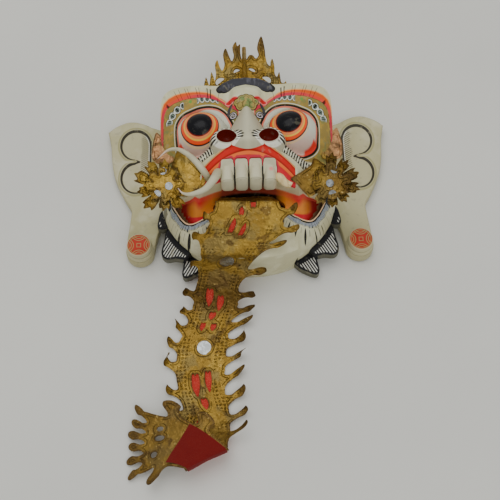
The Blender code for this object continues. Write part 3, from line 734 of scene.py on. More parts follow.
@dataclass(frozen=True)
class Relief:
    """The heights of the carved face over the table, in bench millimetres."""

    half_width: float = 101.0
    chin: float = -65.0
    waist: float = 20.0
    brow: float = 139.0
    hair_arch: float = 11.0
    hair_spread: float = 26.0
    brow_power: float = 14.0
    jaw_power: float = 2.1
    lumps: tuple = (((0, 22), (72, 50), 60, 60, 8), ((0, 122), (30, 24), 70, 30, 5))
    ridge: tuple = ((38, 44), (60, 30), (88, 16))
    strand: tuple = ((0, 144), (14, 142.5), (24, 137), (31, 131))

    def crown(self, x: np.ndarray) -> np.ndarray:
        """How far the crown stands over the waist line."""
        return self.brow + self.hair_arch * np.exp(-((x / self.hair_spread) ** 4)) - self.waist

    def outline(self, u: np.ndarray, v: np.ndarray) -> tuple[np.ndarray, np.ndarray]:
        """Pulls a square from -1 to 1 to the face's outline.

        Args:
            u: The square's own x.
            v: The square's own y.

        Returns:
            The x and y on the bench.
        """
        reach = np.maximum(np.maximum(np.abs(u), np.abs(v)), 1e-6)
        power = np.where(v > 0, self.brow_power, self.jaw_power)
        pull = np.maximum(np.abs(u / reach) ** power + np.abs(v / reach) ** power, 1.0) ** (-1.0 / power)
        x = self.half_width * u * pull
        y = self.waist + np.where(v > 0, self.crown(x), self.waist - self.chin) * v * pull
        return x, y

    def share(self, x: np.ndarray, y: np.ndarray) -> np.ndarray:
        """0 in the middle of the face and 1 on its outline.

        Args:
            x: The spots' x.
            y: The spots' y.

        Returns:
            The shares.
        """
        upper = y > self.waist
        rise = np.where(upper, (y - self.waist) / self.crown(x), (self.waist - y) / (self.waist - self.chin))
        power = np.where(upper, self.brow_power, self.jaw_power)
        return (np.abs(x / self.half_width) ** power + np.abs(rise) ** power) ** (1.0 / power)

    def lip_arch(self, across: np.ndarray) -> np.ndarray:
        """The upper lip's top line at a distance from the middle."""
        return 43 - 20 * (across / 50) ** 2

    def lower_lip(self, across: np.ndarray) -> np.ndarray:
        """The lower lip's line at a distance from the middle."""
        wave = -21.0 - 4.0 * np.cos(across / 62.0 * 2.0 * math.pi)
        return wave + 55.0 * np.maximum((across - 66.0) / 34.0, 0.0) ** 2

    def gum(self, across: np.ndarray) -> np.ndarray:
        """The upper edge of the open mouth at a distance from the middle."""
        return np.where(across < 60.0, 14.0 - 14.0 * (across / 60.0) ** 2, 6.0 - across * 0.03)

    def layers(self, x: np.ndarray, y: np.ndarray) -> dict[str, np.ndarray]:
        """The height that each form of the face would have by itself, far below where it isn't.

        Args:
            x: The spots' x.
            y: The spots' y.

        Returns:
            The heights by the form's name.
        """
        side_x = np.abs(x)
        share = np.minimum(self.share(x, y), 1.0)
        side = 24.0 + 46.0 * ramp(y, 15, 120)
        base = side + (90.0 - side) * np.sqrt(1.0 - share ** (2.4 + 4.5 * ramp(y, 10, 110)))
        for middle, half, foot, rise, soft in self.lumps:
            lump = dome(side_x, y, middle, half)
            raised = blend_up(base, foot + rise * np.sqrt(np.clip(lump, 0, None)), soft)
            base = base + (raised - base) * ramp(lump, 0.0, 0.16)
        brow = ramp(y, 78, 112) * ramp(side_x, 14, 24)
        plate = 97 - 0.006 * (side_x - 55) ** 2 - 0.008 * (y - 128) ** 2 - 24 * ramp(share, 0.984, 1.0)
        base = base * (1 - brow) + brow * np.maximum(plate, side)
        socket = np.hypot((side_x - 51) / 34, (y - 77) / 29)
        base = np.minimum(base, base + (84 - base) * ramp(1 - socket, 0, 0.12))
        ball = dome(side_x, y, (50.5, 75), (32, 28))
        wing = dome(side_x, y, (24, 50), (19, 16))
        down = np.clip((104 - y) / 64, 0, 1)
        nose = 103 + 35 * down**0.85 - 15 * (side_x / (6.5 + 16 * down**0.8)) ** 2
        nose = nose - 0.10 * np.clip(46 - y, 0, None) ** 2 - 3.0 * np.clip(y - 102, 0, None)
        off, run = off_line(side_x, y, list(self.ridge))
        above = y - self.lip_arch(side_x)
        fall = np.clip(-above, 0, None)
        lip = 127 - 24 * (side_x / 50) ** 2 - np.where(fall < 16, 0.043 * fall**2, 11 + 0.65 * (fall - 16))
        lip = lip - 0.35 * np.clip(above, 0, None) ** 2
        under = ramp(54 - side_x, 0, 4) * (above < 0)
        base = base + under * (np.minimum(base, lip - 0.4) - base)
        strand, _ = off_line(side_x, y, list(self.strand))
        hair = 88 + 6 * np.sqrt(np.clip(1 - (strand / 7) ** 2, 0, 1))
        return {
            "base": base,
            "ball": np.where(ball > 0, 76 + 42 * np.sqrt(np.clip(ball, 0, None)), FAR_BELOW),
            "nose": np.where((y > 30) & (y < 111), nose, FAR_BELOW),
            "wing": np.where(wing > 0, 104 + 29 * np.sqrt(np.clip(wing, 0, None)), FAR_BELOW),
            "cheek": 112 - 30 * run / 60.3 - 0.16 * off**2,
            "lip": np.where(side_x < 54, lip, FAR_BELOW),
            "hair": np.where(strand < 8, hair, FAR_BELOW),
        }

    def skin(self, x: np.ndarray, y: np.ndarray) -> np.ndarray:
        """The height of the whole carved skin, without its holes.

        Args:
            x: The spots' x.
            y: The spots' y.

        Returns:
            The heights.
        """
        forms = self.layers(x, y)
        height = forms["base"]
        for name, soft in (("ball", 2), ("nose", 3), ("wing", 3), ("cheek", 3), ("lip", 2), ("hair", 2)):
            there = forms[name] > FAR_BELOW
            height = np.where(there, blend_up(height, forms[name], soft), height)
        return height

    def hollow(self, x: np.ndarray, y: np.ndarray) -> np.ndarray:
        """The height of the hollow behind the face."""
        share = np.minimum(self.share(x, y), 1.0)
        return (44.0 + 26.0 * ramp(y, 8, 42)) * (1.0 - share**3) ** 0.4


@dataclass(frozen=True)
class FacePaint:
    """Layers of enamel on the carved face, with the painter's lines."""

    cream: str = "bfbc9a"
    gold: str = "86723a"
    pink: str = "bc2e40"
    orange: str = "cc4e16"
    red: str = "a01410"
    black: str = "14120f"
    iris: tuple = (
        ("14120f", 21.6, 0.3), ("d94a22", 20.7, 0.4), ("e6b040", 18.1, 0.5), ("e07a48", 16.7, 0.5),
        ("6a1410", 14.6, 0.4), ((0.006, 0.006, 0.008, 1), 13.6, 0.3),
    )

    def mix(self, bench: Bench) -> bpy.types.Material:
        """The whole recipe.

        Args:
            bench: The bench, for places in millimetres.

        Returns:
            The material.
        """
        mix = Recipe("face_paint", self.cream)
        x, y, z = mix.axes(bench)
        across = x.size()
        grain = mix.noise(22, 4)
        mix.lay("aaa47e", grain.over(0.5, 0.25) * 0.55)
        mix.lay("cfcdb2", mix.noise(60, 2).over(0.56, 0.1) * 0.4)
        lid = mix.field("lid")
        free = mix.field("free")
        brow = mix.field("brow").over(0, 0.6)
        self.brows(mix, brow, lid, across, y)
        self.eyes(mix, lid, free, across, y)
        self.nose(mix, across, y)
        self.cheeks(mix)
        self.jaw(mix, across, y)
        self.mouth(mix, across, y)
        self.lips(mix, x, across, y)
        self.tufts(mix)
        self.forehead(mix, across, y)
        wear = mix.noise(140, 5).over(0.62, 0.08) * mix.noise(30, 2).over(0.5, 0.2)
        mix.lay("8f8a72", wear * 0.35)
        inside = mix.field("inside").over(0.5, 0.2).most(z.under(0.15, 0.1))
        mix.lay((0.24, 0.15, 0.08, 1), inside)
        mix.lay((0.12, 0.07, 0.035, 1), inside * mix.noise(30, 5, (1, 0.12, 1)).over(0.5, 0.12) * 0.7)
        mix.relief(mix.noise(420, 4) * 0.5 + mix.noise(60, 2), 0.0004)
        gloss = mix.field("iris").under(21, 1.0) * lid.under(0)
        return mix.done(mix.noise(45, 3) * 0.25 + 0.34 - gloss * 0.26 + inside * 0.3, 0.0, 0.17)

    def brows(self, mix: Recipe, brow: Shade, lid: Shade, across: Shade, y: Shade) -> None:
        """Paints the bands over each eye.

        Args:
            mix: The recipe.
            brow: 1 on the brow.
            lid: The distance out from the eye's opening.
            across: The distance from the middle.
            y: The height on the face.
        """
        rose = mix.field("rose")
        ember = mix.field("ember")
        run = mix.field("lidrun")
        upper = brow * y.over(72, 6)
        band = brow * rose.under(0, 0.4) * lid.over(0) * y.over(40, 3)
        mix.lay(self.gold, band)
        mix.lay("a98a3a", band * mix.noise(90, 3).over(0.52, 0.12) * 0.6)
        mix.lay("6d7040", band * mix.noise(130, 2).over(0.58, 0.06) * 0.7)
        mix.lay("b9bda8", band * lid.between(1.7, 2.7))
        group = across.between(32, 56, 1.5).most(across.over(72, 1.5) * y.over(94, 3)) * band
        p = run.saw(5.2) - 2.6
        q = (lid - 9.6) / 1.5
        ring = p.far(q)
        mix.lay(self.black, group * ring.under(3.1) * 0.85)
        mix.lay("c8ccc0", group * ring.under(2.6))
        mix.lay("5d6b60", group * ring.under(1.9))
        mix.lay(self.black, group * ring.under(1.9) * p.size().saw(1.1).under(0.4, 0.2))
        mix.lay("5f8a3c", band * (across - 64.0).far(y - 116.0).under(1.9, 0.4))
        mix.lay("2a2418", band * rose.over(-0.7) * mix.noise(200, 1).over(0.45, 0.1) * 0.8)
        warm = mix.noise(25, 2).over(0.5, 0.2)
        mix.lay(self.pink, upper * rose.over(0) * rose.under(4.2, 1.2))
        mix.lay("cf3f2c", upper * rose.between(0, 4.2) * warm * across.over(60, 20))
        mix.lay(self.orange, upper * rose.over(3.8, 1.4) * ember.under(0))
        mix.lay("d9a060", upper * ember.between(-1.2, 0.3, 0.6) * 0.8)
        pair = run.saw(9.2).under(0.42, 0.25).most(run.saw(9.2, 2.4).under(0.42, 0.25))
        strokes = pair * upper * rose.over(-0.5) * ember.under(5.5, 1.5) * across.between(30, 92, 2)
        mix.lay("1c1612", strokes * 0.9)

    def eyes(self, mix: Recipe, lid: Shade, free: Shade, across: Shade, y: Shade) -> None:
        """Paints the rings of the eyes and their outlines.

        Args:
            mix: The recipe.
            lid: The distance out from the eye's opening.
            free: More than 0 where nose, lip and cheek leave the eye free.
            across: The distance from the middle.
            y: The height on the face.
        """
        clear = free.over(0, 0.6)
        eye = lid.under(0) * clear
        iris = mix.field("iris")
        mix.lay("bfc0b0", eye)
        mix.lay("c88a80", eye * y.under(62, 14) * 0.5)
        mix.lay("d0705c", eye * lid.over(-2.9, 0.8))
        red_corner = eye * across.over(64, 2) * y.under(62, 2.5) * iris.over(25.5, 1)
        mix.lay("cf3020", red_corner * lid.over(-5.5, 1))
        mix.lay("e8b878", eye * iris.between(22, 23.2, 0.5) * 0.6)
        for colour, radius, soft in self.iris:
            mix.lay(colour, eye * iris.under(radius, soft))
        mix.lay(self.black, lid.between(-1.1, 1.1) * clear)

    def nose(self, mix: Recipe, across: Shade, y: Shade) -> None:
        """Paints the nose, its outlines, the nostrils and the short hairs about them, with painted shade.

        Args:
            mix: The recipe.
            across: The distance from the middle.
            y: The height on the face.
        """
        nose = mix.field("nose")
        mix.lay("b4b096", nose.over(0))
        # Painted shade: the nose's sides are darker than its middle ridge, lower down.
        mix.lay("8a8674", nose.over(0) * across.over(3, 5) * y.under(96, 10) * 0.25)
        mix.lay(self.black, nose.between(-1.5, 0.4, 0.5) * y.over(56, 3) * 0.9)
        p = (across - 23.0) / 11.0
        q = (y - 49.0) / 8.2
        ring = p.far(q)
        turn = q.math("ARCTAN2", p)
        mix.lay("d9d8c8", nose.over(-2) * ring.between(1.02, 1.5, 0.08))
        hairs = (turn * 17.0).math("SINE").over(-0.25, 0.3) * ring.between(1.10, 1.72, 0.15)
        mix.lay(self.black, nose.over(-1) * hairs * q.over(-0.75, 0.3))
        mix.lay("b4b0a0", nose.over(-2) * ring.between(0.94, 1.06, 0.05))
        # The nostrils' red paint: near black where they are deep, as painted shade, and a brighter red on
        # their shallow lower wall, as painted light.
        pit = ring.under(1.5, 0.05) * mix.field("deep").over(0.7, 0.3) * nose.over(-6)
        mix.lay("64160c", pit)
        mix.lay("b03018", pit * mix.field("deep").under(2.4, 0.8) * q.under(-0.2, 0.3))

    def cheeks(self, mix: Recipe) -> None:
        """Paints the white ridges beside the nose with their brush strokes.

        Args:
            mix: The recipe.
        """
        ridge = mix.field("cheek")
        off = mix.field("cheekoff")
        run = mix.field("cheekrun")
        there = ridge.over(0)
        mix.lay("c8c6ae", there)
        tip = mix.noise(160, 1) * 5.0
        stroke = (run + off * 0.25).saw(3.0).under(1.7, 0.35)
        fade = run.between(1, 46, 3)
        mix.lay(self.black, there * stroke * (off + tip).over(1.8, 0.6) * fade)
        mix.lay(self.black, there * stroke * (off * -1.0 + tip).over(3.2, 0.6) * fade)
        mix.lay("8d8c7c", there * run.saw(2.3, 1.1).under(0.5, 0.3) * off.size().under(2.6, 1.0) * 0.5)
        mix.lay("2a2016", ridge.between(-0.9, 0.2) * run.under(50, 2) * 0.8)

    def lips(self, mix: Recipe, x: Shade, across: Shade, y: Shade) -> None:
        """Paints the upper lip, gums and teeth.

        Args:
            mix: The recipe.
            x: The place across.
            across: The distance from the middle.
            y: The height on the face.
        """
        lip = mix.field("lip").over(0, 0.4)
        above = y - 43.0 + across * across * 0.008
        tooth = mix.field("tooth")
        mix.lay(self.red, lip * above.under(0.6))
        mix.lay("c4281c", lip * above.between(-8.0, -3.0, 2.0) * 0.8)
        mix.lay("84100c", lip * (x * 1.3).saw(1.9).under(0.4, 0.3) * above.between(-7.5, -2.0, 1.5) * 0.35)
        mix.lay("dc6830", lip * above.between(-13.0, -9.4, 1.0))
        mix.lay("80100c", lip * above.between(-9.8, -8.8, 0.5) * 0.8)
        mix.lay("c42834", lip * above.under(-13.2, 0.6))
        mix.lay("c08a54", lip * above.between(-1.0, 1.2, 0.4))
        mix.lay(self.pink, lip * tooth.over(-2.6, 0.6) * above.under(-10, 1))
        mix.lay("7a0c10", lip * tooth.over(-0.8, 0.4) * above.under(-10, 1))
        white = tooth.over(0, 0.25)
        mix.lay("bdb99c", white)
        mix.lay("a9a58c", white * mix.noise(40, 3, (1, 0.3, 1)).over(0.5, 0.2) * 0.5)
        mix.lay("d87070", white * (x - 24.5).far(y - 17.0).under(2.2, 2.0) * 0.7)
        side = ((x / 15.3).math("ADD", 40.0)).saw(1.0)
        gap = side.under(0.06, 0.03).most(side.over(0.94, 0.03))
        mix.lay("1a1612", white * gap * across.under(29, 0.5))

    def jaw(self, mix: Recipe, across: Shade, y: Shade) -> None:
        """Paints the lower lip's edge and the strokes on the jaw under it.

        Args:
            mix: The recipe.
            across: The distance from the middle.
            y: The height on the face; not used.
        """
        jaw = mix.field("jaw")
        run = mix.field("jawrun")
        there = mix.field("jawskin").over(0.5, 0.3)
        wander = mix.noise(120, 1) - 0.5
        mix.lay("e0b48c", there * jaw.between(-0.3, 1.0))
        mix.lay(self.black, there * (jaw + wander * 0.8).between(1.0, 2.5))
        hatch = run.saw(1.25).under(0.5, 0.3)
        fringe = jaw + wander * 5.0
        mix.lay("9aa4b4", there * fringe.between(2.4, 5.6) * 0.8)
        mix.lay("20242c", there * hatch * fringe.between(2.4, 6.6))
        drop = run.saw(7.4) - 3.7
        waver = mix.noise(90, 1) * 3.0
        tear = (jaw - 12.0 - waver).size() / 6.0
        width = (tear * tear).flip() * 0.85
        mix.lay("1a1814", there * (drop.size() - width).under(0, 0.25) * across.under(84, 3))
        fine = run.saw(7.4, 3.7) - 3.7
        mix.lay("3a3830", there * fine.size().under(0.22, 0.2) * jaw.between(8, 13) * 0.7)

    def mouth(self, mix: Recipe, across: Shade, y: Shade) -> None:
        """Paints the inside of the mouth, with a painted shadow at its back under the teeth.

        Args:
            mix: The recipe.
            across: The distance from the middle.
            y: The height on the face.
        """
        deep = mix.field("mouth")
        there = deep.over(0.05, 0.2)
        mix.lay("c82a34", there)
        mix.lay("f08c34", there * (deep + y * 0.5).over(3.5, 3.0) * across.under(72, 6))
        mix.lay("7a1010", there * across.over(66, 12))
        # Painted shadow: near black at the back of the mouth, under the teeth.
        mix.lay("140806", there * across.under(36, 12) * y.over(-12, 8))
        mix.lay("d8604c", there * deep.under(1.6, 1.2) * 0.4)

    def tufts(self, mix: Recipe) -> None:
        """Paints the black beard tufts with their white hatching.

        Args:
            mix: The recipe.
        """
        tuft = mix.field("tuft")
        line = mix.field("tuftline")
        mix.lay("1a1a1c", tuft.over(-0.1))
        clear = (tuft + mix.noise(100, 1) * 1.5).over(2.9, 0.5) * mix.field("jawline").over(4.6, 0.8)
        mix.lay("c4c4bc", line.saw(2.9).under(1.15, 0.35) * clear)

    def forehead(self, mix: Recipe, across: Shade, y: Shade) -> None:
        """Paints the hair band and the gold ornament with its crescents and curls.

        Args:
            mix: The recipe.
            across: The distance from the middle; not used.
            y: The height on the face; not used.
        """
        curl = mix.field("curl")
        mix.lay("38383c", mix.field("strand").under(1.7, 0.5))
        mix.lay(self.black, curl.under(5.2, 0.5))
        spiral = (curl + mix.field("curlturn") * 0.42).saw(2.6).under(1.0, 0.35)
        mix.lay("c0bac4", curl.under(4.4, 0.4) * spiral)
        crescent = mix.field("crescent")
        mix.lay("d88078", crescent.over(-0.6))
        mix.lay("b41c1c", crescent.over(0.5))
        gold = mix.field("ornament")
        mix.lay("1e1a10", gold.over(-0.9))
        mix.lay("9c8a4c", gold.over(0))
        mix.lay("6f8048", gold.over(0.8) * mix.noise(150, 1).over(0.52, 0.06))
        mix.lay("4a4020", gold.between(1.4, 2.1) * 0.7)
        hair = mix.field("hair")
        mix.lay("34343a", hair.over(0))
        mix.lay("60606a", hair.over(0) * mix.noise(70, 2, (3, 1, 1)).over(0.58, 0.1) * 0.5)
        mix.lay("1a1a1c", hair.between(-1.0, 0.2))


@dataclass
class CarvedFace:
    """The face: one block carved, hollowed, and painted."""

    bench: Bench
    relief: Relief
    drawing: Drawing
    across: int = 236
    along: int = 252
    wall: float = 11.0
    floor: float = 56.0
    throat: tuple = (0.0, -3.0, 41.0, 13.0)
    nostril: tuple = (11.0, 7.9, 16.0)
    tooth: tuple = (14.9, 24.0, 84.0)
    teeth: int = 4
    tooth_gap: float = 0.6
    tooth_top: float = 27.0
    tooth_high: float = 116.2
    tuft_thick: float = 12.0

    def block(
        self, name: str, counts: tuple, height: Callable, inset: float, foot: float
    ) -> bpy.types.Object:
        """A grid pulled to the face's outline, raised to a height and closed down to its foot.

        Args:
            name: The block's name.
            counts: The squares across and along.
            height: What gives the height at x and y.
            inset: How far inside the outline it stays.
            foot: Its underside's height.

        Returns:
            The closed block.
        """
        put_down()
        bpy.ops.mesh.primitive_grid_add(x_subdivisions=counts[0], y_subdivisions=counts[1], size=2)
        obj = bpy.context.object
        obj.name = name
        spots = points_of(obj)
        x, y = self.relief.outline(spots[:, 0], spots[:, 1])
        z = height(x, y)
        middle = (self.relief.brow + self.relief.chin) / 2
        tall = 1 - inset / ((self.relief.brow - self.relief.chin) / 2)
        wide = 1 - inset / self.relief.half_width
        move_points(obj, np.column_stack((x * wide, middle + (y - middle) * tall, z)))
        take(obj)
        bpy.ops.object.mode_set(mode="EDIT")
        bpy.ops.mesh.select_mode(type="EDGE")
        bpy.ops.mesh.select_all(action="DESELECT")
        bpy.ops.mesh.select_non_manifold()
        bpy.ops.mesh.extrude_region_move(TRANSFORM_OT_translate={"value": (0, 0, 0)})
        bpy.ops.transform.resize(value=(1, 1, 0), center_override=(0, 0, foot))
        bpy.ops.mesh.edge_face_add()
        bpy.ops.mesh.select_all(action="SELECT")
        bpy.ops.mesh.normals_make_consistent(inside=False)
        bpy.ops.mesh.select_mode(type="VERT")
        put_down()
        return obj

    def mouth_loop(self) -> list[tuple[float, float]]:
        """The open mouth's outline.

        Returns:
            The outline's points.
        """
        across = np.arange(-84.0, 85.0, 4.0)
        low = self.relief.lower_lip(np.abs(across))
        high = np.maximum(self.relief.gum(np.abs(across)), low + 0.3)
        return [*zip(across, low), *zip(across[::-1], high[::-1])]

    def mouth_tool(self) -> bpy.types.Object:
        """The gouge's path in the mouth, with a bowled floor.

        Returns:
            The tool.
        """
        loop = self.mouth_loop()
        obj = cut_sheet("mouth_tool", [loop], 2.4, self.floor, 100)
        spots = points_of(obj)
        depth = np.clip(within_loop(spots[:, 0], spots[:, 1], loop), 0, None)
        bowl = 12 * np.exp(-depth / 4.0) + 0.0028 * np.clip(np.abs(spots[:, 0]) - 30, 0, None) ** 2
        skin = self.relief.skin(spots[:, 0], spots[:, 1])
        low = np.minimum(self.floor + bowl, np.clip(skin - 12, 44, None))
        spots[:, 2] = np.where(spots[:, 2] < self.floor + 50, low, spots[:, 2])
        move_points(obj, spots)
        return obj

    def ball_tool(self, name: str, middle: tuple, half: tuple, tilt: float) -> bpy.types.Object:
        """A gouge of an egg's shape.

        Args:
            name: The tool's name.
            middle: Its middle.
            half: Its half sizes.
            tilt: How far it leans, in degrees.

        Returns:
            The tool.
        """
        put_down()
        bpy.ops.mesh.primitive_uv_sphere_add(segments=40, ring_count=24, radius=1)
        obj = bpy.context.object
        obj.name = name
        turn = Matrix.Translation(middle) @ Matrix.Rotation(math.radians(tilt), 4, "X")
        obj.data.transform(turn @ Matrix.Diagonal((*half, 1)))
        return obj

    def tooth_place(self, index: int) -> float:
        """How far right of the middle a tooth stands."""
        return (index - (self.teeth - 1) / 2) * (self.tooth[0] + self.tooth_gap)

    def tooth_block(self, index: int) -> bpy.types.Object:
        """One upper tooth, rounded all over.

        Args:
            index: Its number from the left.

        Returns:
            The tooth.
        """
        wide, tall, low = self.tooth
        place = self.tooth_place(index)
        top = self.tooth_high - 4.5 * ((index - 1.5) / 1.5) ** 2
        put_down()
        bpy.ops.mesh.primitive_cube_add(size=1, location=(0, 0, 0))
        obj = bpy.context.object
        obj.name = f"tooth_{index + 1}"
        edit_all()
        bpy.ops.transform.resize(value=(wide, tall, top - low))
        bpy.ops.transform.translate(value=(place, self.tooth_top - tall / 2, (top + low) / 2))
        bpy.ops.mesh.bevel(offset=5.0, segments=6, profile=0.5, affect="EDGES")
        put_down()
        spots = points_of(obj)
        upper = np.clip((spots[:, 2] - low) / (top - low), 0, 1)
        spots[:, 1] += np.where(spots[:, 1] < 5, 1.6 * upper, 0)
        spots[:, 2] -= 0.085 * (spots[:, 0] - place) ** 2 * upper
        move_points(obj, spots)
        return obj

    def tuft_loop(self, index: int, side: Side) -> list[tuple[float, float]]:
        """A beard tuft's outline on one side."""
        loop = smooth_loop(list(self.drawing.tufts[index]), 4)
        return [(side.value * px, py) for px, py in loop]

    def build(self) -> bpy.types.Object:
        """Carves, paints and sets down the face.

        Returns:
            The face.
        """
        obj = self.block("carved_face", (self.across, self.along), self.relief.skin, 0.0, 0.0)
        for index, foot in enumerate(self.drawing.tuft_feet):
            for side in Side:
                name = f"tuft_{index}_{side.word}"
                tuft = carved_board(name, self.tuft_loop(index, side), 1.6, foot, foot + self.tuft_thick, 2.4)
                work(obj, tuft, Work.JOIN)
        work(obj, self.mouth_tool(), Work.CUT)
        for index in range(self.teeth):
            work(obj, self.tooth_block(index), Work.JOIN)
        hollow = self.block("hollow_tool", (64, 66), self.relief.hollow, self.wall, -self.wall)
        work(obj, hollow, Work.CUT)
        work(obj, sawn_block("throat_tool", [oval(*self.throat, 48)], 22, 72), Work.CUT)
        for side in Side:
            middle = (side.value * 23, 49, 130)
            work(obj, self.ball_tool(f"nostril_{side.word}", middle, self.nostril, 14), Work.CUT)
        self.mark_out(obj)
        return settle(obj, "carved_face", self.bench, FacePaint().mix(self.bench), Slot.PAINT, "face")

    def mark_out(self, obj: bpy.types.Object) -> None:
        """Notes on the mesh all that the paint follows.

        Args:
            obj: The carved face.
        """
        spots = points_of(obj)
        x, y, z = spots.T
        across = np.abs(x)
        forms = self.relief.layers(x, y)
        skin = self.relief.skin(x, y)
        on = {}
        for name in forms:
            others = np.max([forms[other] for other in forms if other != name], axis=0)
            on[name] = np.clip(forms[name] - others, -12, 12)
        lids = smooth_loop(list(self.drawing.opening), 3)
        note(obj, "lid", -within_loop(across, y, lids))
        note(obj, "lidrun", off_line(across, y, lids)[1])
        note(obj, "rose", -within_loop(across, y, list(self.drawing.rose)))
        note(obj, "ember", -within_loop(across, y, list(self.drawing.ember)))
        pupils = [np.hypot(x - px, y - py) for px, py in self.drawing.pupils]
        note(obj, "iris", np.minimum(*pupils))
        cover = np.max([on["nose"], on["wing"], on["cheek"], on["lip"]], axis=0)
        note(obj, "free", np.where((y > 38) & (across > 8), -cover, -5))
        outer = (y > 38) & (across > 9) & (z > 40)
        note(obj, "brow", np.where(outer, np.maximum(on["base"], on["ball"]), -5))
        note(obj, "nose", np.maximum(on["nose"], on["wing"]))
        note(obj, "cheek", np.where(across > 34, on["cheek"], -5))
        arch = y - self.relief.lip_arch(across)
        bare = 0.6 - np.maximum(on["nose"], on["wing"])
        lip = np.minimum.reduce((51.5 - across, 1.2 - arch, y - self.relief.gum(across) + 1.5, bare))
        note(obj, "lip", np.where(z > 80, np.clip(lip, -8, 8), -8))
        off, run = off_line(across, y, list(self.relief.ridge))
        above = y - np.interp(across, *zip(*self.relief.ridge))
        note(obj, "cheekoff", off * np.sign(above))
        note(obj, "cheekrun", run)
        buried = skin - z
        note(obj, "deep", np.clip(buried, 0, 3))
        across_line = np.arange(-86.0, 87.0, 2.0)
        lip_line = list(zip(across_line, self.relief.lower_lip(np.abs(across_line))))
        off, run = off_line(x, y, lip_line)
        below = self.relief.lower_lip(across) - y
        note(obj, "jaw", off * np.sign(below))
        note(obj, "jawrun", run)
        note(obj, "jawskin", ((below > -0.6) & (buried < 3) & (z > 3)).astype(float))
        depth = within_loop(x, y, self.mouth_loop())
        note(obj, "mouth", np.where((buried > 2) & (z > 45) & (z < 112), np.maximum(depth, 0.3), -1.0))
        teeth = np.full(len(x), OUTSIDE)
        wide, _, foot = self.tooth
        for index in range(self.teeth):
            place = self.tooth_place(index)
            box = np.minimum(wide / 2 + 0.3 - np.abs(x - place), np.minimum(27.2 - y, y + 4))
            edge = np.clip(3.0 - np.clip(wide / 2 - np.abs(x - place), 0, 3), 0, 3)
            teeth = np.maximum(teeth, box - np.where(y > 20, 0.25 * edge**2 * (y - 20) / 7, 0))
        lifted = np.where(z < foot, OUTSIDE, np.where(y < 14, 9.0, np.clip(z - skin + 0.25, -9, 9)))
        note(obj, "tooth", np.minimum(teeth, lifted))
        self.mark_tufts(obj, x, y, z)
        self.mark_forehead(obj, across, y, on["hair"])
        within = (self.relief.share(x, y) < 0.93) & (buried > 6) & (depth < -1.5)
        low = (z < 54) & (self.relief.share(x, y) < 0.93) & (buried > 4)
        nostril = np.hypot((across - 23) / 12, (y - 49) / 9) < 1
        note(obj, "inside", ((within & ~nostril & (z < 96)) | low).astype(float))

    def mark_tufts(self, obj: bpy.types.Object, x: np.ndarray, y: np.ndarray, z: np.ndarray) -> None:
        """Notes where the beard tufts are and which way their hatching runs.

        Args:
            obj: The carved face.
            x: Its corners' x.
            y: Its corners' y.
            z: Its corners' height.
        """
        depth = np.full(len(x), OUTSIDE)
        line = np.zeros(len(x))
        for index, foot in enumerate(self.drawing.tuft_feet):
            for side in Side:
                own = within_loop(x, y, self.tuft_loop(index, side))
                own = np.where((z > foot - 0.5) & (z < foot + self.tuft_thick + 0.1), own, OUTSIDE)
                own = np.where(self.relief.share(x, y) < 0.985, OUTSIDE, own)
                hatch = 0.87 * x * side.value + 0.5 * y
                line = np.where(own > depth, hatch, line)
                depth = np.maximum(depth, own)
        note(obj, "tuft", depth)
        note(obj, "tuftline", line + 200)
        note(obj, "jawline", np.clip((self.relief.share(x, y) - 1) * 80, -5, 20))

    def mark_forehead(
        self, obj: bpy.types.Object, across: np.ndarray, y: np.ndarray, hair: np.ndarray
    ) -> None:
        """Notes the hair band, the ornament, the crescents and the curls.

        Args:
            obj: The carved face.
            across: Its corners' distance from the middle.
            y: Its corners' y.
            hair: How far the hair band stands over the rest.
        """
        scallop = 1.1 * np.abs(np.sin(across / 7.0 * math.pi / 2))
        note(obj, "hair", np.clip(hair, -4, 4) + scallop - 1.0)
        studs = [size - np.hypot(across - px, y - py) for px, py, size in self.drawing.ornament]
        gold = np.max(studs, axis=0)
        note(obj, "ornament", gold)
        note(obj, "crescent", within_loop(across, y, smooth_loop(list(self.drawing.crescent), 3)))
        px, py = self.drawing.curl
        note(obj, "curl", np.hypot(across - px, y - py))
        note(obj, "curlturn", np.arctan2(y - py, across - px) + 8)
        off, _ = off_line(across, y, list(self.drawing.strand))
        note(obj, "strand", off)


@dataclass(frozen=True)
class EarPaint:
    """Cream enamel with dark outlines round the sunk scrolls, and a painted highlight inside the upper one.
    """

    cream: str = "ada884"

    def mix(self) -> bpy.types.Material:
        """The recipe.

        Returns:
            The material.
        """
        mix = Recipe("ear_paint", self.cream)
        mix.lay("989268", mix.noise(18, 4, (1, 0.4, 1)).over(0.52, 0.2) * 0.6)
        mix.lay("bebaa0", mix.noise(35, 3).over(0.56, 0.12) * 0.5)
        scroll = mix.field("scroll")
        inner = mix.field("inner")
        rise = mix.field("upper")
        shut = inner.over(126, 5).most(rise.over(78, 3))
        mix.lay("8a8454", scroll.between(-4.8, -2.6, 1.2) * 0.75)
        mix.lay("242220", scroll.between(-1.9, 1.1, 0.5) * shut * 0.95)
        # Painted highlight: a pale band just inside the black outline of the upper scroll, on its side toward
        # the face.
        mix.lay("dcdacc", scroll.between(0.9, 2.0, 0.4) * inner.under(124, 3) * rise.over(80, 3) * 0.8)
        reach = mix.noise(90, 1) * 9.0 + 121.0
        curve = (rise * 0.9 + inner * 0.55 + mix.noise(25, 1) * 3.0).saw(2.5).under(1.0, 0.4)
        hatch = curve * (inner - reach).under(2.0, 2.0) * scroll.over(1.6) * rise.between(56, 122, 3)
        mix.lay("36322c", hatch * 0.9)
        mix.lay("8c8770", mix.noise(160, 5).over(0.64, 0.06) * 0.4)
        edge = mix.field("rim")
        mix.lay("9a9270", edge.under(1.2, 1.0) * 0.5)
        mix.relief(mix.noise(380, 4) * 0.5 + mix.noise(50, 2, (1, 0.3, 1)), 0.0004)
        return mix.done(mix.noise(45, 3) * 0.25 + 0.34)


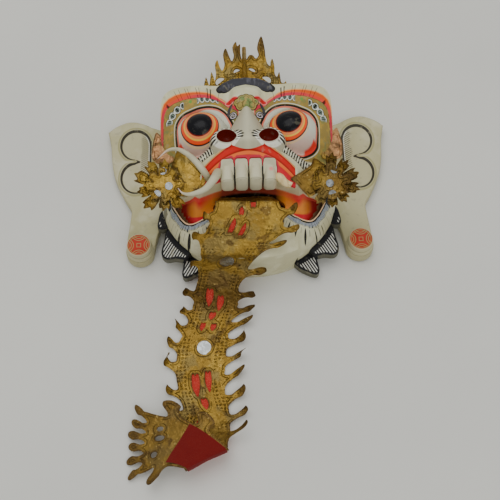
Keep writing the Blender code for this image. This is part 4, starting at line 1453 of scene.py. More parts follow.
@dataclass
class Ear:
    """One ear board with its two sunk scrolls."""

    bench: Bench
    side: Side
    low: float = 2.0
    thick: float = 12.0
    carving: float = 1.5
    lobe: tuple = (127.8, -33.0, 16.3)
    pin: float = 6.3
    outer: tuple = (
        (101.6, 125), (116, 133), (124, 137.5), (134, 141), (142, 141.8), (149, 140.5), (160.5, 135),
        (168.6, 128),
        (169.3, 126.5), (165.5, 108), (163.5, 84), (159.5, 63), (151.5, 44), (145.5, 32), (139, 20),
        (139.6, 8),
        (141, -4), (143, -20),
    )
    scrolls: tuple = ((135.3, 108, 17.5, 20), (134.6, 63, 17, 20))

    def loop(self) -> list[tuple[float, float]]:
        """The board's outline on this side.

        Returns:
            The outline's points.
        """
        x, y, radius = self.lobe
        around = [math.radians(18 - step * 18) for step in range(12)]
        lobe = [(x + radius * math.cos(turn), y + radius * math.sin(turn)) for turn in around]
        loop = [*self.outer, *lobe, (107.5, -14), (102.2, 2), (101.4, 14), (101.4, 60), (101.4, 100)]
        return [(self.side.value * px, py) for px, py in smooth_loop(loop, 3)]

    def build(self) -> bpy.types.Object:
        """Saws, carves and paints the ear.

        Returns:
            The ear.
        """
        loop = self.loop()
        high = self.low + self.thick
        obj = carved_board(f"ear_board_{self.side.word}", loop, 1.3, self.low, high, 1.8)
        spots = points_of(obj)
        x, y = np.abs(spots[:, 0]), spots[:, 1]
        scroll = np.minimum.reduce((x - 117.8, 137 - x, y - 58, 112 - y))
        for px, py, wide, tall in self.scrolls:
            depth = (1 - np.hypot((x - px) / wide, (y - py) / tall)) * (wide + tall) / 2
            scroll = np.maximum(scroll, depth)
        cusp = 12 - np.hypot((x - 144) * 0.75, (y - 85.5) * 3.4)
        scroll = np.minimum(scroll, -cusp + 2)
        upper = spots[:, 2] > high - 3
        sunk = self.carving * ramp(scroll, -1.2, 0.8) - 0.9 * np.exp(-(((scroll + 2.4) / 1.4) ** 2))
        spots[:, 2] -= np.where(upper, np.clip(sunk, -0.6, 2), 0)
        move_points(obj, spots)
        note(obj, "scroll", np.where(upper, scroll, -30))
        note(obj, "inner", x)
        note(obj, "upper", y)
        note(obj, "rim", np.clip(within_loop(spots[:, 0], y, loop), 0, 20))
        px, py, _ = self.lobe
        hole = oval(self.side.value * px, py, self.pin, self.pin, 40)
        work(obj, sawn_block("pin_hole", [hole], -2, 20), Work.CUT)
        node = f"ear_{self.side.word}"
        return settle(obj, f"carved_{node}", self.bench, EarPaint().mix(), Slot.PAINT, node)


@dataclass
class Earring:
    """A turned plug through the lobe, with a painted face."""

    bench: Bench
    side: Side
    spot: tuple = (127.8, -33.0)
    radius: float = 14.0
    foot: float = 14.3
    height: float = 16.0
    pin: float = 6.0

    def profile(self) -> list[tuple[float, float]]:
        """The turner's profile, from the middle of the face out and down to the pin.

        Returns:
            The profile's points, as radius and height.
        """
        low, high, wide = self.foot, self.foot + self.height, self.radius
        return [
            (0, high - 1.0), (wide - 3.2, high - 1.0), (wide - 2.3, high - 0.7), (wide - 1.9, high - 0.15),
            (wide - 1.2, high), (wide - 0.5, high - 0.35), (wide - 0.2, high - 1.2), (wide, high - 4),
            (wide + 0.2, low + 9), (wide - 0.1, low + 8.1), (wide - 0.1, low + 7.5), (wide + 0.5, low + 6.8),
            (wide + 1.2, low + 5.2), (wide + 1.4, low + 3), (wide + 1.4, low + 0.8), (wide + 0.9, low),
            (self.pin, low), (self.pin, 2.0), (0, 2.0),
        ]

    def paint(self) -> bpy.types.Material:
        """Cream on the drum, and red with green-gold arcs on the face.

        Returns:
            The material.
        """
        mix = Recipe(f"earring_paint_{self.side.word}", "aea884")
        x, y, z = mix.axes(self.bench)
        p = x - self.side.value * self.spot[0]
        q = y - self.spot[1]
        off = p.far(q)
        mix.lay("a39c7c", mix.noise(40, 4).over(0.52, 0.15) * 0.6)
        groove = z.between(self.foot + 7.2, self.foot + 8.6, 0.6) * off.over(self.radius - 1.5)
        mix.lay("6e684e", groove * 0.6)
        top = z.over(self.foot + self.height - 1.35, 0.2) * off.under(self.radius - 1.2, 0.3)
        mix.lay("9c2012", top)
        mix.lay("b03420", top * mix.noise(60, 3).over(0.5, 0.15) * 0.5)
        lines = off.between(self.radius - 2.9, self.radius - 2.2, 0.3)
        for turn in range(4):
            px = (self.radius + 0.5) * math.cos(turn * math.pi / 2)
            py = (self.radius + 0.5) * math.sin(turn * math.pi / 2)
            arc = (p - px).far(q - py)
            lines = lines.most(arc.between(5.6, 6.4)).most(arc.between(8.0, 8.8))
        square = p.size().most(q.size())
        lines = lines.most(square.between(1.9, 2.6))
        mix.lay("8c8450", top * lines)
        mix.relief(mix.noise(400, 3), 0.0003)
        return mix.done(mix.noise(60, 3) * 0.2 + 0.32)

    def build(self) -> bpy.types.Object:
        """Turns the plug on its axis.

        Returns:
            The earring.
        """
        put_down()
        bpy.ops.mesh.primitive_plane_add(size=1)
        obj = bpy.context.object
        edit_all()
        bpy.ops.mesh.delete(type="VERT")
        put_down()
        line = self.profile()
        obj.data.from_pydata([(r, 0, z) for r, z in line], [(i, i + 1) for i in range(len(line) - 1)], [])
        take(obj)
        edit_all()
        bpy.ops.mesh.spin(steps=72, angle=2 * math.pi, center=(0, 0, 0), axis=(0, 0, 1))
        put_down()
        weld(obj, 1e-3)
        spots = points_of(obj)
        move_points(obj, spots + np.array((self.side.value * self.spot[0], self.spot[1], 0)))
        name = f"turned_earring_{self.side.word}"
        return settle(obj, name, self.bench, self.paint(), Slot.PAINT, f"earring_{self.side.word}")


class TuskFinish(Enum):
    """How a tusk looks: painted, or broken to the bare wood."""

    PAINTED = "painted"
    BROKEN = "broken"


@dataclass(frozen=True)
class TuskPaint:
    """Pale enamel on a tusk, pinkish to its tip, or bare cream wood where it broke."""

    kind: TuskFinish

    def mix(self) -> bpy.types.Material:
        """The recipe.

        Returns:
            The material.
        """
        mix = Recipe(f"tusk_{self.kind.value}", "b4b094")
        run = mix.field("run")
        mix.lay("a29c84", mix.noise(70, 4, (1, 1, 0.4)).over(0.5, 0.15) * 0.55)
        mix.lay("d8bcae", run.over(0.86, 0.12) * 0.8)
        mix.lay("8a8260", run.under(0.22, 0.16) * 0.6)
        if self.kind is TuskFinish.BROKEN:
            mix.lay("d2bd8e", run.over(0.1, 0.1))
            mix.lay("a8905e", mix.noise(160, 5, (1, 0.3, 1)).over(0.5, 0.1) * 0.6)
            mix.relief(mix.noise(260, 5, (1, 0.3, 1)), 0.0012)
            return mix.done(0.7)
        mix.relief(mix.noise(300, 3), 0.0003)
        return mix.done(mix.noise(60, 2) * 0.2 + 0.28)


@dataclass
class Tusk:
    """A round horn that tapers along a smooth line."""

    bench: Bench
    node: str
    line: tuple
    radius: float
    taper: float
    finish: TuskFinish = TuskFinish.PAINTED
    steps: int = 60

    def girth(self, share: float) -> float:
        """The radius at a share of the length.

        Args:
            share: The share, from 0 at the root to 1 at the tip.

        Returns:
            The radius.
        """
        if self.finish is TuskFinish.BROKEN:
            return self.radius * (1 - 0.25 * share)
        return self.radius * max(1 - share**self.taper, 0.06)

    def build(self) -> bpy.types.Object:
        """Shapes the horn round its line.

        Returns:
            The tusk.
        """
        put_down()
        bpy.ops.curve.primitive_bezier_curve_add()
        obj = bpy.context.object
        curve = obj.data
        curve.splines.clear()
        curve.dimensions = "3D"
        curve.bevel_depth = 1.0
        curve.bevel_resolution = 6
        curve.use_fill_caps = True
        spline = curve.splines.new("POLY")
        spline.points.add(self.steps - 1)
        line = smooth_line(list(self.line), self.steps)
        for i, (point, spot) in enumerate(zip(spline.points, line)):
            point.co = (*spot, 1)
            point.radius = self.girth(i / (self.steps - 1))
        take(obj)
        bpy.ops.object.convert(target="MESH")
        weld(obj, 1e-3)
        spots = points_of(obj)
        far = np.linalg.norm(spots[:, None, :] - np.array(line)[None, :, :], axis=2)
        note(obj, "run", far.argmin(axis=1) / (self.steps - 1))
        if self.finish is TuskFinish.BROKEN:
            end = far.argmin(axis=1) > self.steps - 4
            jag = 1.4 * np.sin(spots[:, 1] * 2.1) + 1.2 * np.sin(spots[:, 2] * 3.3)
            spots[:, 0] += np.where(end, jag, 0)
            move_points(obj, spots)
        paint = TuskPaint(self.finish).mix()
        return settle(obj, f"shaped_{self.node}", self.bench, paint, Slot.TUSK, self.node)


class Gilding(Enum):
    """How the gilding has aged: bright, pale, brown, or mixed along the tongue, where painted shade joins the
    aging.
    """

    BRIGHT = "bright"
    PALE = "pale"
    BROWN = "brown"
    MIXED = "mixed"


@dataclass(frozen=True)
class GildedLeather:
    """Gold leaf on brown leather, rubbed and tarnished, with stamped dots, painted glints and noted painted
    shade.
    """

    kind: Gilding
    dots: float = 4.2

    def mix(self) -> bpy.types.Material:
        """The recipe, which reads the piece's edge, flat x and flat y.

        Returns:
            The material.
        """
        mix = Recipe(f"gilded_{self.kind.value}", (0.36, 0.215, 0.032, 1))
        edge = mix.field("edge")
        u, v = mix.field("flatx"), mix.field("flaty")
        patch = mix.noise(26, 4)
        mix.lay((0.52, 0.33, 0.055, 1), patch.over(0.53, 0.12))
        mix.lay((0.26, 0.20, 0.07, 1), mix.noise(45, 3).over(0.56, 0.1) * 0.7)
        if self.kind is Gilding.BROWN:
            mix.lay((0.15, 0.085, 0.022, 1), mix.noise(18, 3).over(0.42, 0.2) * 0.75)
        if self.kind is Gilding.PALE:
            mix.lay((0.66, 0.34, 0.16, 1), mix.noise(30, 2).over(0.35, 0.2) * 0.85)
        if self.kind is Gilding.MIXED:
            # The mixed kind darkens where the piece's note says; on the tongue this includes painted shade.
            mix.lay((0.14, 0.08, 0.022, 1), mix.field("tarnish_and_shade"))
        mix.lay((0.10, 0.055, 0.016, 1), mix.noise(80, 5).over(0.60, 0.07) * 0.7)
        mix.lay((0.09, 0.05, 0.015, 1), edge.under(1.6, 1.6) * mix.noise(55, 3).over(0.47, 0.1) * 0.8)
        # Painted glints: small bright specks on the gold.
        mix.lay((0.66, 0.47, 0.15, 1), mix.noise(240, 2).over(0.68, 0.04) * 0.45)
        shift = mix.noise(120, 2)
        p = (u + shift * 4.5).saw(self.dots, FLAT_SHIFT) - self.dots / 2
        q = (v - shift * 5.0).saw(self.dots, FLAT_SHIFT) - self.dots / 2
        stamp = p.far(q).under(1.0, 0.6)
        where = mix.field("stamped").over(0.5, 0.4) * mix.noise(60, 2).over(0.48, 0.12)
        mix.lay((0.07, 0.04, 0.012, 1), stamp * where * 0.36)
        ring = (edge + shift * 0.8).between(3.4, 4.0, 0.5) * mix.noise(70, 2).over(0.45, 0.15)
        mix.lay((0.12, 0.07, 0.02, 1), ring * 0.35)
        wrinkle = mix.noise(170, 5) * 1.8 + mix.noise(55, 4) * 3.0 - stamp * where * 1.5 - ring * 0.8
        mix.relief(wrinkle, 0.0016)
        return mix.done(mix.noise(90, 4) * 0.40 + 0.20, 0.62)


@dataclass
class CutLeather:
    """Leather cut flat with flames and holes, to be bent to its place."""

    name: str
    loops: list
    spacing: float
    thick: float = 1.3

    def flat(self) -> tuple[bpy.types.Object, np.ndarray]:
        """Cuts the sheet and notes its flat places for the paint.

        Returns:
            The sheet, and its corners' places.
        """
        obj = cut_sheet(self.name, self.loops, self.spacing, -self.thick / 2, self.thick)
        spots = points_of(obj)
        edge = within_loop(spots[:, 0], spots[:, 1], self.loops[0])
        for hole in self.loops[1:]:
            edge = np.minimum(edge, -within_loop(spots[:, 0], spots[:, 1], hole))
        note(obj, "edge", np.clip(edge, 0, 20))
        note(obj, "flatx", spots[:, 0] + FLAT_SHIFT)
        note(obj, "flaty", spots[:, 1] + FLAT_SHIFT)
        return obj, spots


def lick(middle: float, half: float, edge: float, reach: float, lean: float, blunt: float) -> list:
    """One flame's outline along an edge, as spots out from it and along it.

    Args:
        middle: Where it stands on the edge.
        half: Half its width at the foot.
        edge: The edge's own place.
        reach: How far out its tip is.
        lean: How far along the tip leans.
        blunt: How wide the tip is against the foot.

    Returns:
        The outline's points in order.
    """
    spine = [(0.0, 0.0), (0.25, 0.22 * lean), (0.5, 0.50 * lean), (0.75, 0.68 * lean), (1.0, lean)]
    width = (1.0, 0.35 + 0.4 * blunt, 0.30 + 0.6 * blunt, 0.30 + 0.8 * blunt, 0.2 + 0.5 * blunt)
    there = [(edge + share * reach, middle + off - half * w) for (share, off), w in zip(spine, width)]
    back = [(edge + share * reach, middle + off + half * w) for (share, off), w in zip(spine, width)]
    return [*there, (edge + reach * 1.04 + 0.8, middle + lean * 1.06), *back[::-1]]


@dataclass
class Crest:
    """The flame-cut sheet over the crown."""

    bench: Bench
    foot: float = 139.0
    lift: float = 66.8
    outline: tuple = (
        (-50, 134), (-50, 150), (-48.5, 160), (-46.5, 167.5), (-44, 160), (-42.5, 157), (-41.5, 165),
        (-40, 174),
        (-37.5, 168), (-36, 163), (-34.5, 172), (-35.5, 184), (-32.5, 191), (-30, 182), (-27, 176),
        (-24, 184),
        (-25.5, 197), (-22, 206), (-18, 196), (-15, 189), (-12.5, 196), (-14, 207), (-9.5, 214), (-8, 209),
        (-4.5, 212.5), (-4.5, 203), (-3, 192), (2, 190), (6, 196), (10.5, 197), (14, 192), (17.5, 196),
        (16, 207),
        (21.5, 220.5), (25, 207), (26, 193), (28, 184), (31, 181), (31.5, 186), (34, 189.5), (36, 180),
        (36, 170),
        (38.5, 166), (41.5, 172.5), (42.5, 164), (43.5, 158), (46.5, 157), (49, 159), (50, 150), (50, 134),
    )
    holes: tuple = (
        (-31, 163, 6.4, 3.2, 42), (-10, 176, 4.2, 2.0, 30), (9, 177, 4.2, 2.0, -25),
        (27, 163.5, 6.0, 3.2, -42),
        (-15, 164, 1.3, 1.3, 0), (-10, 159, 1.4, 1.4, 0), (8, 159, 1.4, 1.4, 0), (15, 161, 1.3, 1.3, 0),
        (-38, 148, 1.2, 1.2, 0), (39, 150, 1.2, 1.2, 0),
    )

    def build(self) -> bpy.types.Object:
        """Cuts, bends and gilds the crest.

        Returns:
            The crest.
        """
        loops = [smooth_loop(list(self.outline), 4)]
        for x, y, wide, tall, tilt in self.holes:
            cos, sin = math.cos(math.radians(tilt)), math.sin(math.radians(tilt))
            ring = [(px, py - 0.05 * px**2) for px, py in oval(0.0, 0.0, wide, tall, 20)]
            loops.append([(x + px * cos - py * sin, y + px * sin + py * cos) for px, py in ring])
        obj, spots = CutLeather("crest_sheet", loops, 1.3).flat()
        x, y, w = spots.T
        rise = np.clip((y - self.foot - 12) / 70, 0, 1)
        bend = 6.0 * rise**2 + 1.6 * np.sin(x * 0.42) * rise + 0.010 * np.abs(x) ** 1.5 * rise
        move_points(obj, np.column_stack((x, y, self.lift + w + bend)))
        note(obj, "stamped", ramp(12 - np.abs(y - 162), 0, 4))
        note(obj, "tarnish_and_shade", 0.85 * ramp(y - 0.25 * np.abs(x), 178, 206))
        paint = GildedLeather(Gilding.MIXED, 3.4).mix()
        return settle(obj, "cut_crest", self.bench, paint, Slot.LEATHER, "crest")


@dataclass
class CrestFin:
    """The folded strip that stands along the middle of the crest."""

    bench: Bench
    foot: float = 150.9
    tip: float = 209.0
    base: float = 67.9
    half: float = 3.75
    rise: float = 13.0

    def build(self) -> bpy.types.Object:
        """Folds and gilds the strip.

        Returns:
            The fin.
        """
        obj = sheet_stock("fin_sheet", (-self.half, self.foot, self.half, self.tip), 0.75, -0.45, 0.9)
        spots = points_of(obj)
        x, y, w = spots.T
        share = np.clip((y - self.foot) / (self.tip - self.foot), 0, 1)
        tall = self.rise * (1 - 0.62 * share**1.5) * np.clip((1.02 - share) * 14, 0.1, 1) ** 0.4
        fold = 1 - np.clip(np.abs(x) / self.half, 0, 1) ** 1.15
        narrow = 1 - 0.35 * share
        height = self.base + 0.6 + (tall - 1.2) * np.clip(fold, 0, 1) + w
        move_points(obj, np.column_stack((x * narrow, y, height)))
        note(obj, "edge", np.full(len(x), 6.0))
        note(obj, "flatx", x + FLAT_SHIFT)
        note(obj, "flaty", y + FLAT_SHIFT)
        note(obj, "stamped", np.zeros(len(x)))
        paint = GildedLeather(Gilding.BRIGHT).mix()
        return settle(obj, "folded_crest_fin", self.bench, paint, Slot.LEATHER, "crest_fin")


@dataclass(frozen=True)
class MirrorGlass:
    """Old round mirror glass, a little cloudy."""

    def mix(self) -> bpy.types.Material:
        """The recipe.

        Returns:
            The material.
        """
        mix = Recipe("mirror_glass_old", (0.42, 0.45, 0.46, 1))
        mix.lay((0.20, 0.20, 0.18, 1), mix.noise(160, 4).over(0.52, 0.1) * 0.6)
        return mix.done(mix.noise(180, 3).over(0.5, 0.3) * 0.2 + 0.08, 0.85)


@dataclass
class RoundMirror:
    """One round mirror with a ground edge."""

    bench: Bench
    node: str
    frame: Matrix
    radius: float
    thick: float = 1.4

    def build(self, paint: bpy.types.Material) -> bpy.types.Object:
        """Cuts and grinds the mirror.

        Args:
            paint: Its glass.

        Returns:
            The mirror.
        """
        put_down()
        bpy.ops.mesh.primitive_cylinder_add(vertices=40, radius=self.radius, depth=self.thick)
        obj = bpy.context.object
        edit_all()
        bpy.ops.mesh.bevel(offset=0.2, segments=1, affect="EDGES")
        put_down()
        obj.data.transform(self.frame)
        return settle(obj, f"cut_{self.node}", self.bench, paint, Slot.MIRROR, self.node)


@dataclass
class Rosette:
    """A cupped leather flower with ragged petals, its strap and its mirrors."""

    bench: Bench
    side: Side
    middle: tuple
    strap: tuple
    strap_corners: tuple
    mirrors: tuple
    radius: float = 33.0
    cup: float = 12.5
    mirror: float = 4.4
    petals: int = 10
    seed: int = 3
    inner: float = 23.0
    inner_petals: int = 8
    mirror_lift: float = 1.5
    petal: tuple = (
        (-0.49, 0.55), (-0.43, 0.80), (-0.32, 0.93), (-0.18, 0.94), (-0.08, 1.04), (0.04, 0.98),
        (0.16, 0.90), (0.29, 0.98), (0.39, 0.84), (0.46, 0.64),
    )
    inner_petal: tuple = (
        (-0.36, 0.62), (-0.27, 0.88), (-0.10, 0.92), (0.0, 1.06), (0.10, 0.9), (0.26, 0.88),
    )

    def frame(self) -> Matrix:
        """Stands the rosette on its middle, facing up and a little to the chin."""
        return Matrix.Translation(self.middle) @ Matrix.Rotation(math.radians(20), 4, "X")

    def loop(self, strap: Vector) -> list[tuple[float, float]]:
        """The ragged outline, with the strap's own corners in place of two petals.

        Args:
            strap: The strap's end, in the rosette's own frame.

        Returns:
            The outline's points.
        """
        heading = math.atan2(strap.y, strap.x)
        rng = np.random.default_rng(self.seed)
        points = []
        step = 2 * math.pi / self.petals
        for i in range(2, self.petals - 1) if self.side is Side.LEFT else range(1, self.petals - 2):
            turn = heading + step * (i + 0.5)
            reach = self.radius * (0.80 + 0.22 * rng.random())
            lean = 0.10 * (rng.random() - 0.5)
            for off, size in self.petal:
                at = turn + off * step + lean * (size - 0.6)
                size += 0.05 * (rng.random() - 0.5)
                points.append((reach * size * math.cos(at), reach * size * math.sin(at)))
        return [*points, *self.strap_corners]

    def ring(self, frame: Matrix) -> bpy.types.Object:
        """Cuts and cups the smaller ring of petals round the mirrors.

        Args:
            frame: Where the rosette stands.

        Returns:
            The ring, as a sheet of its own.
        """
        rng = np.random.default_rng(self.seed + 5)
        points = []
        for i in range(self.inner_petals):
            turn = 2 * math.pi * (i + 0.25 * rng.random()) / self.inner_petals
            reach = self.inner * (0.84 + 0.2 * rng.random())
            for off, size in self.inner_petal:
                points.append((reach * size * math.cos(turn + off), reach * size * math.sin(turn + off)))
        obj, spots = CutLeather(f"rosette_ring_{self.side.word}", [smooth_loop(points, 3)], 1.3).flat()
        x, y, w = spots.T
        share = np.hypot(x, y) / self.inner
        ruffle = 1.8 * np.sin(np.arctan2(y, x) * 5 + self.seed) * share**3
        stand(obj, frame, x, y, 0.7 + 14.0 * np.clip(share - 0.5, 0, 1) ** 1.1 + ruffle + w)
        note(obj, "stamped", np.zeros(len(x)))
        return obj

    def build(self) -> bpy.types.Object:
        """Cuts, cups and gilds the rosette, and sets its mirrors.

        Returns:
            The rosette.
        """
        frame = self.frame()
        strap = frame.inverted() @ Vector(self.strap)
        loops = [smooth_loop(self.loop(strap), 3)]
        loops.append([(3.0 * math.cos(a) * 0.6 + 11, 2.0 * math.sin(a) + 6) for a in np.linspace(0, 6, 14)])
        obj, spots = CutLeather(f"rosette_sheet_{self.side.word}", loops, 1.3).flat()
        x, y, w = spots.T
        r = np.hypot(x, y)
        turn = np.arctan2(y, x)
        heading = math.atan2(strap.y, strap.x)
        along = x * math.cos(heading) + y * math.sin(heading)
        on_strap = ramp(along, 14, 24)
        share = np.clip(r / self.radius - 0.5, 0, 1) / 0.5
        ruffle = 2.6 * np.sin(turn * 10 + 0.7) + 2.2 * np.sin(turn * 3 + self.seed) + 1.2 * np.sin(turn * 23)
        petal = self.cup * share**1.3 + ruffle * share**2
        z = petal * (1 - on_strap) + on_strap * strap.z * np.clip(along / strap.xy.length, 0, 1.1)
        stand(obj, frame, x, y, z + w)
        note(obj, "stamped", ramp(3.5 - np.abs(r - 19), 0, 2))
        take(obj, self.ring(frame))
        bpy.ops.object.join()
        put_down()
        kind = Gilding.BROWN if self.side is Side.RIGHT else Gilding.BRIGHT
        paint = GildedLeather(kind, 3.2).mix()
        glass = MirrorGlass().mix()
        for index, (px, py) in enumerate(self.mirrors):
            spot = frame @ Matrix.Translation((px, py, self.mirror_lift))
            name = f"rosette_mirror_{self.side.word}_{index + 1}"
            RoundMirror(self.bench, name, spot, self.mirror).build(glass)
        node = f"rosette_{self.side.word}"
        return settle(obj, f"cut_{node}", self.bench, paint, Slot.LEATHER, node)


@dataclass
class TempleLeaf:
    """A pointed leaf of leather beside the temple."""

    bench: Bench
    side: Side
    corners: tuple = ((105.5, 97, 61), (84, 50, 75), (107, 53, 68))

    def build(self) -> bpy.types.Object:
        """Cuts and bends the leaf.

        Returns:
            The leaf.
        """
        tip, low, out = (Vector(corner) for corner in self.corners)
        middle = (low + out) / 2
        up = (tip - middle).normalized()
        aside = (out - low).normalized()
        normal = aside.cross(up).normalized()
        length = (tip - middle).length
        half = (out - low).length / 2
        outline = [(-half, 0), (-half * 0.95, length * 0.35), (-half * 0.5, length * 0.75), (0, length)]
        outline += [(half * 0.45, length * 0.78), (half * 0.95, length * 0.35), (half, 0), (0, -3)]
        name = f"temple_leaf_sheet_{self.side.word}"
        obj, spots = CutLeather(name, [smooth_loop(outline, 5)], 1.5).flat()
        x, y, w = spots.T
        bend = 2.0 * (x / half) ** 2 - 0.6
        place = np.array(middle) + np.outer(x, aside) + np.outer(y, up) + np.outer(w + bend, normal)
        place[:, 0] *= self.side.value
        move_points(obj, place)
        if self.side is Side.LEFT:
            take(obj)
            edit_all()
            bpy.ops.mesh.flip_normals()
            put_down()
        note(obj, "stamped", np.zeros(len(x)))
        paint = GildedLeather(Gilding.PALE).mix()
        node = f"temple_leaf_{self.side.word}"
        return settle(obj, f"cut_{node}", self.bench, paint, Slot.LEATHER, node)


@dataclass(frozen=True)
class RedFelt:
    """Worn red felt with short fibres, with painted shade past the tongue's fold."""

    def mix(self) -> bpy.types.Material:
        """The recipe.

        Returns:
            The material.
        """
        mix = Recipe("felt_red", (0.60, 0.045, 0.025, 1))
        mix.lay((0.42, 0.02, 0.015, 1), mix.noise(60, 4).over(0.5, 0.2) * 0.7)
        mix.lay((0.75, 0.14, 0.10, 1), mix.noise(900, 3).over(0.56, 0.1) * 0.5)
        # Painted shade: the felt past the tongue's fold is made near black, though it is the same felt.
        mix.lay((0.13, 0.004, 0.004, 1), mix.field("fold") * 0.92)
        mix.relief(mix.noise(1100, 4) + mix.noise(120, 3) * 1.5, 0.0006)
        mix.shader.inputs["Sheen Weight"].default_value = 0.12
        mix.shader.inputs["Sheen Roughness"].default_value = 0.5
        return mix.done(0.95)


@dataclass
class Tongue:
    """The long flame-edged tongue, its felt lining and its two mirrors."""

    bench: Bench
    relief: Relief
    thick: float = 1.3
    felt: float = 0.8
    flame: float = 17.0
    clearance: float = 5.0
    mirror: float = 8.2
    mirror_hole: float = 7.6
    per_row: int = 8
    fold_row: float = 16.0
    foot: tuple = (6.6, 0.55)
    fold_feet: tuple = ((16.0, 0.8), (7.5, 0.8))
    tip_half: float = 4.7
    tip_blunt: float = 0.9
    web: float = 5.0
    rows: tuple = (
        ((-31, 8, 62), (27, 7, 62)), ((-34, -7, 74), (30, -8, 74)), ((-40, -20, 87), (36, -21, 87)),
        ((-46, -34, 84), (38, -36, 82)), ((-54, -48, 70), (28, -50, 70)), ((-57, -63, 50), (4, -66, 50)),
        ((-62, -80, 27), (-13, -86, 27)), ((-68, -99, 8), (-15, -103, 8)),
        ((-74, -118, 2.5), (-24, -122, 2.5)), ((-83, -140, 2.0), (-28, -146, 2.0)),
        ((-88, -172, 2.0), (-31, -171, 2.0)), ((-85, -200, 2.0), (-32, -199, 2.0)),
        ((-79, -224, 3.0), (-28, -222, 3.0)), ((-79, -252, 9), (-27, -242, 9)),
        ((-79, -276, 17), (-29, -257, 17)), ((-77, -288, 22), (-30, -267, 22)),
        ((-76, -291, 27), (-29, -270, 27)), ((-79, -289, 32), (-33, -266, 32)),
        ((-97, -284, 25), (-68, -240, 29)), ((-119, -290, 10), (-112, -224, 13)),
    )
    left: tuple = (
        (2.6, 0.6, -3), (3.9, 1.0, -6), (5.2, 1.1, -8), (6.6, 1.0, -9), (7.6, 1.0, -8), (8.5, 1.1, -9),
        (9.3, 0.9, -7), (10.0, 1.2, -10), (11.1, 1.0, -7), (12.1, 1.2, -7), (13.2, 0.9, -6), (18.2, 1.0, 12),
    )
    right: tuple = (
        (2.4, 0.9, -7), (3.5, 1.0, -6), (4.5, 1.1, -8), (5.5, 1.3, -9), (6.5, 1.3, -10), (7.4, 1.3, -11),
        (8.2, 1.4, -12), (9.0, 1.5, -12), (9.8, 1.5, -12), (10.6, 1.4, -12), (11.5, 1.5, -12),
        (12.5, 1.3, -10),
        (13.6, 1.4, -6), (17.7, 0.9, 5), (18.45, 1.0, 8),
    )
    ends: tuple = (
        (-0.84, 1.1, -9), (-0.5, 1.35, -4), (-0.17, 1.3, 1), (0.17, 1.45, 3), (0.5, 1.3, 5), (0.84, 1.2, 10),
    )
    holes: tuple = (
        (-8, -7, 4.2, 6.5), (4, -11, 3.2, 8.5), (-9, -23, 3.0, 5.0), (-19, -36, 3.4, 9.0),
        (-8, -41, 3.2, 8.0),
        (-48, -94, 4.8, 11.5), (-36, -98, 4.4, 10.0), (-46, -113, 4.4, 4.8), (-57, -125, 3.4, 5.4),
        (-45, -125, 3.6, 4.6), (-65, -192, 5.0, 13.5), (-51, -190, 4.0, 12.5), (-55, -213, 4.2, 7.0),
        (-62, -239, 3.0, 6.0),
    )
    fan_holes: tuple = ((-13, -10, 3.4, 5), (5, -12, 3.0, 5.5), (15, -10, 2.6, 3.6))
    slot: tuple = (
        (-0.8, -0.86), (-0.4, -1), (-0.1, -0.8), (0.25, -1), (0.75, -0.9), (0.95, -0.3), (0.8, 0.3),
        (0.15, 1),
        (-0.4, 0.66), (-0.85, 0.1),
    )
    mirrors: tuple = ((5.05, 0.50), (9.25, 0.53))

    def __post_init__(self) -> None:
        """Works out the bent surface once."""
        count = (len(self.rows) - 1) * self.per_row + 1
        low = self.felt + 1.6
        left = np.array(smooth_line([row[0] for row in self.rows], count))
        right = np.array(smooth_line([row[1] for row in self.rows], count))
        for k in range(count):
            share = np.linspace(0, 1, 9)[:, None]
            spots = left[k] * (1 - share) + right[k] * share
            lip = self.relief.lower_lip(np.abs(spots[:, 0]))
            over = (self.relief.share(spots[:, 0], spots[:, 1]) < 1.0) & (spots[:, 1] < lip + 6)
            skin = self.relief.skin(spots[:, 0], np.minimum(spots[:, 1], lip))
            need = np.where(over, skin + self.clearance - spots[:, 2], 0)
            lift = max(need.max(), low - spots[:, 2].min(), 0.0)
            left[k, 2] += lift
            right[k, 2] += lift
        kernel = np.array((1, 2, 3, 2, 1)) / 9
        for edge in (left, right):
            padded = np.pad(edge[:, 2], 2, mode="edge")
            edge[:, 2] = np.maximum(edge[:, 2], np.convolve(padded, kernel, mode="valid"))
        middle = (left + right) / 2
        steps = np.linalg.norm(np.diff(middle, axis=0), axis=1)
        self.run = np.concatenate(((0,), np.cumsum(steps)))
        self.middle = middle
        self.half = np.linalg.norm(right - left, axis=1) / 2
        self.aside = (right - left) / (2 * self.half[:, None])
        down = np.gradient(middle, axis=0)
        normal = np.cross(down, self.aside)
        self.normal = normal / np.linalg.norm(normal, axis=1)[:, None]

    def at(self, values: np.ndarray, run: np.ndarray) -> np.ndarray:
        """A row quantity at places along the tongue.

        Args:
            values: The quantity at each fine row.
            run: The places along the tongue.

        Returns:
            The quantity at those places.
        """
        if values.ndim == 1:
            return np.interp(run, self.run, values)
        return np.column_stack([np.interp(run, self.run, values[:, k]) for k in range(values.shape[1])])

    def row_run(self, row: float) -> float:
        """How far along the tongue one of its rows is."""
        return float(np.interp(row * self.per_row, np.arange(len(self.run)), self.run))

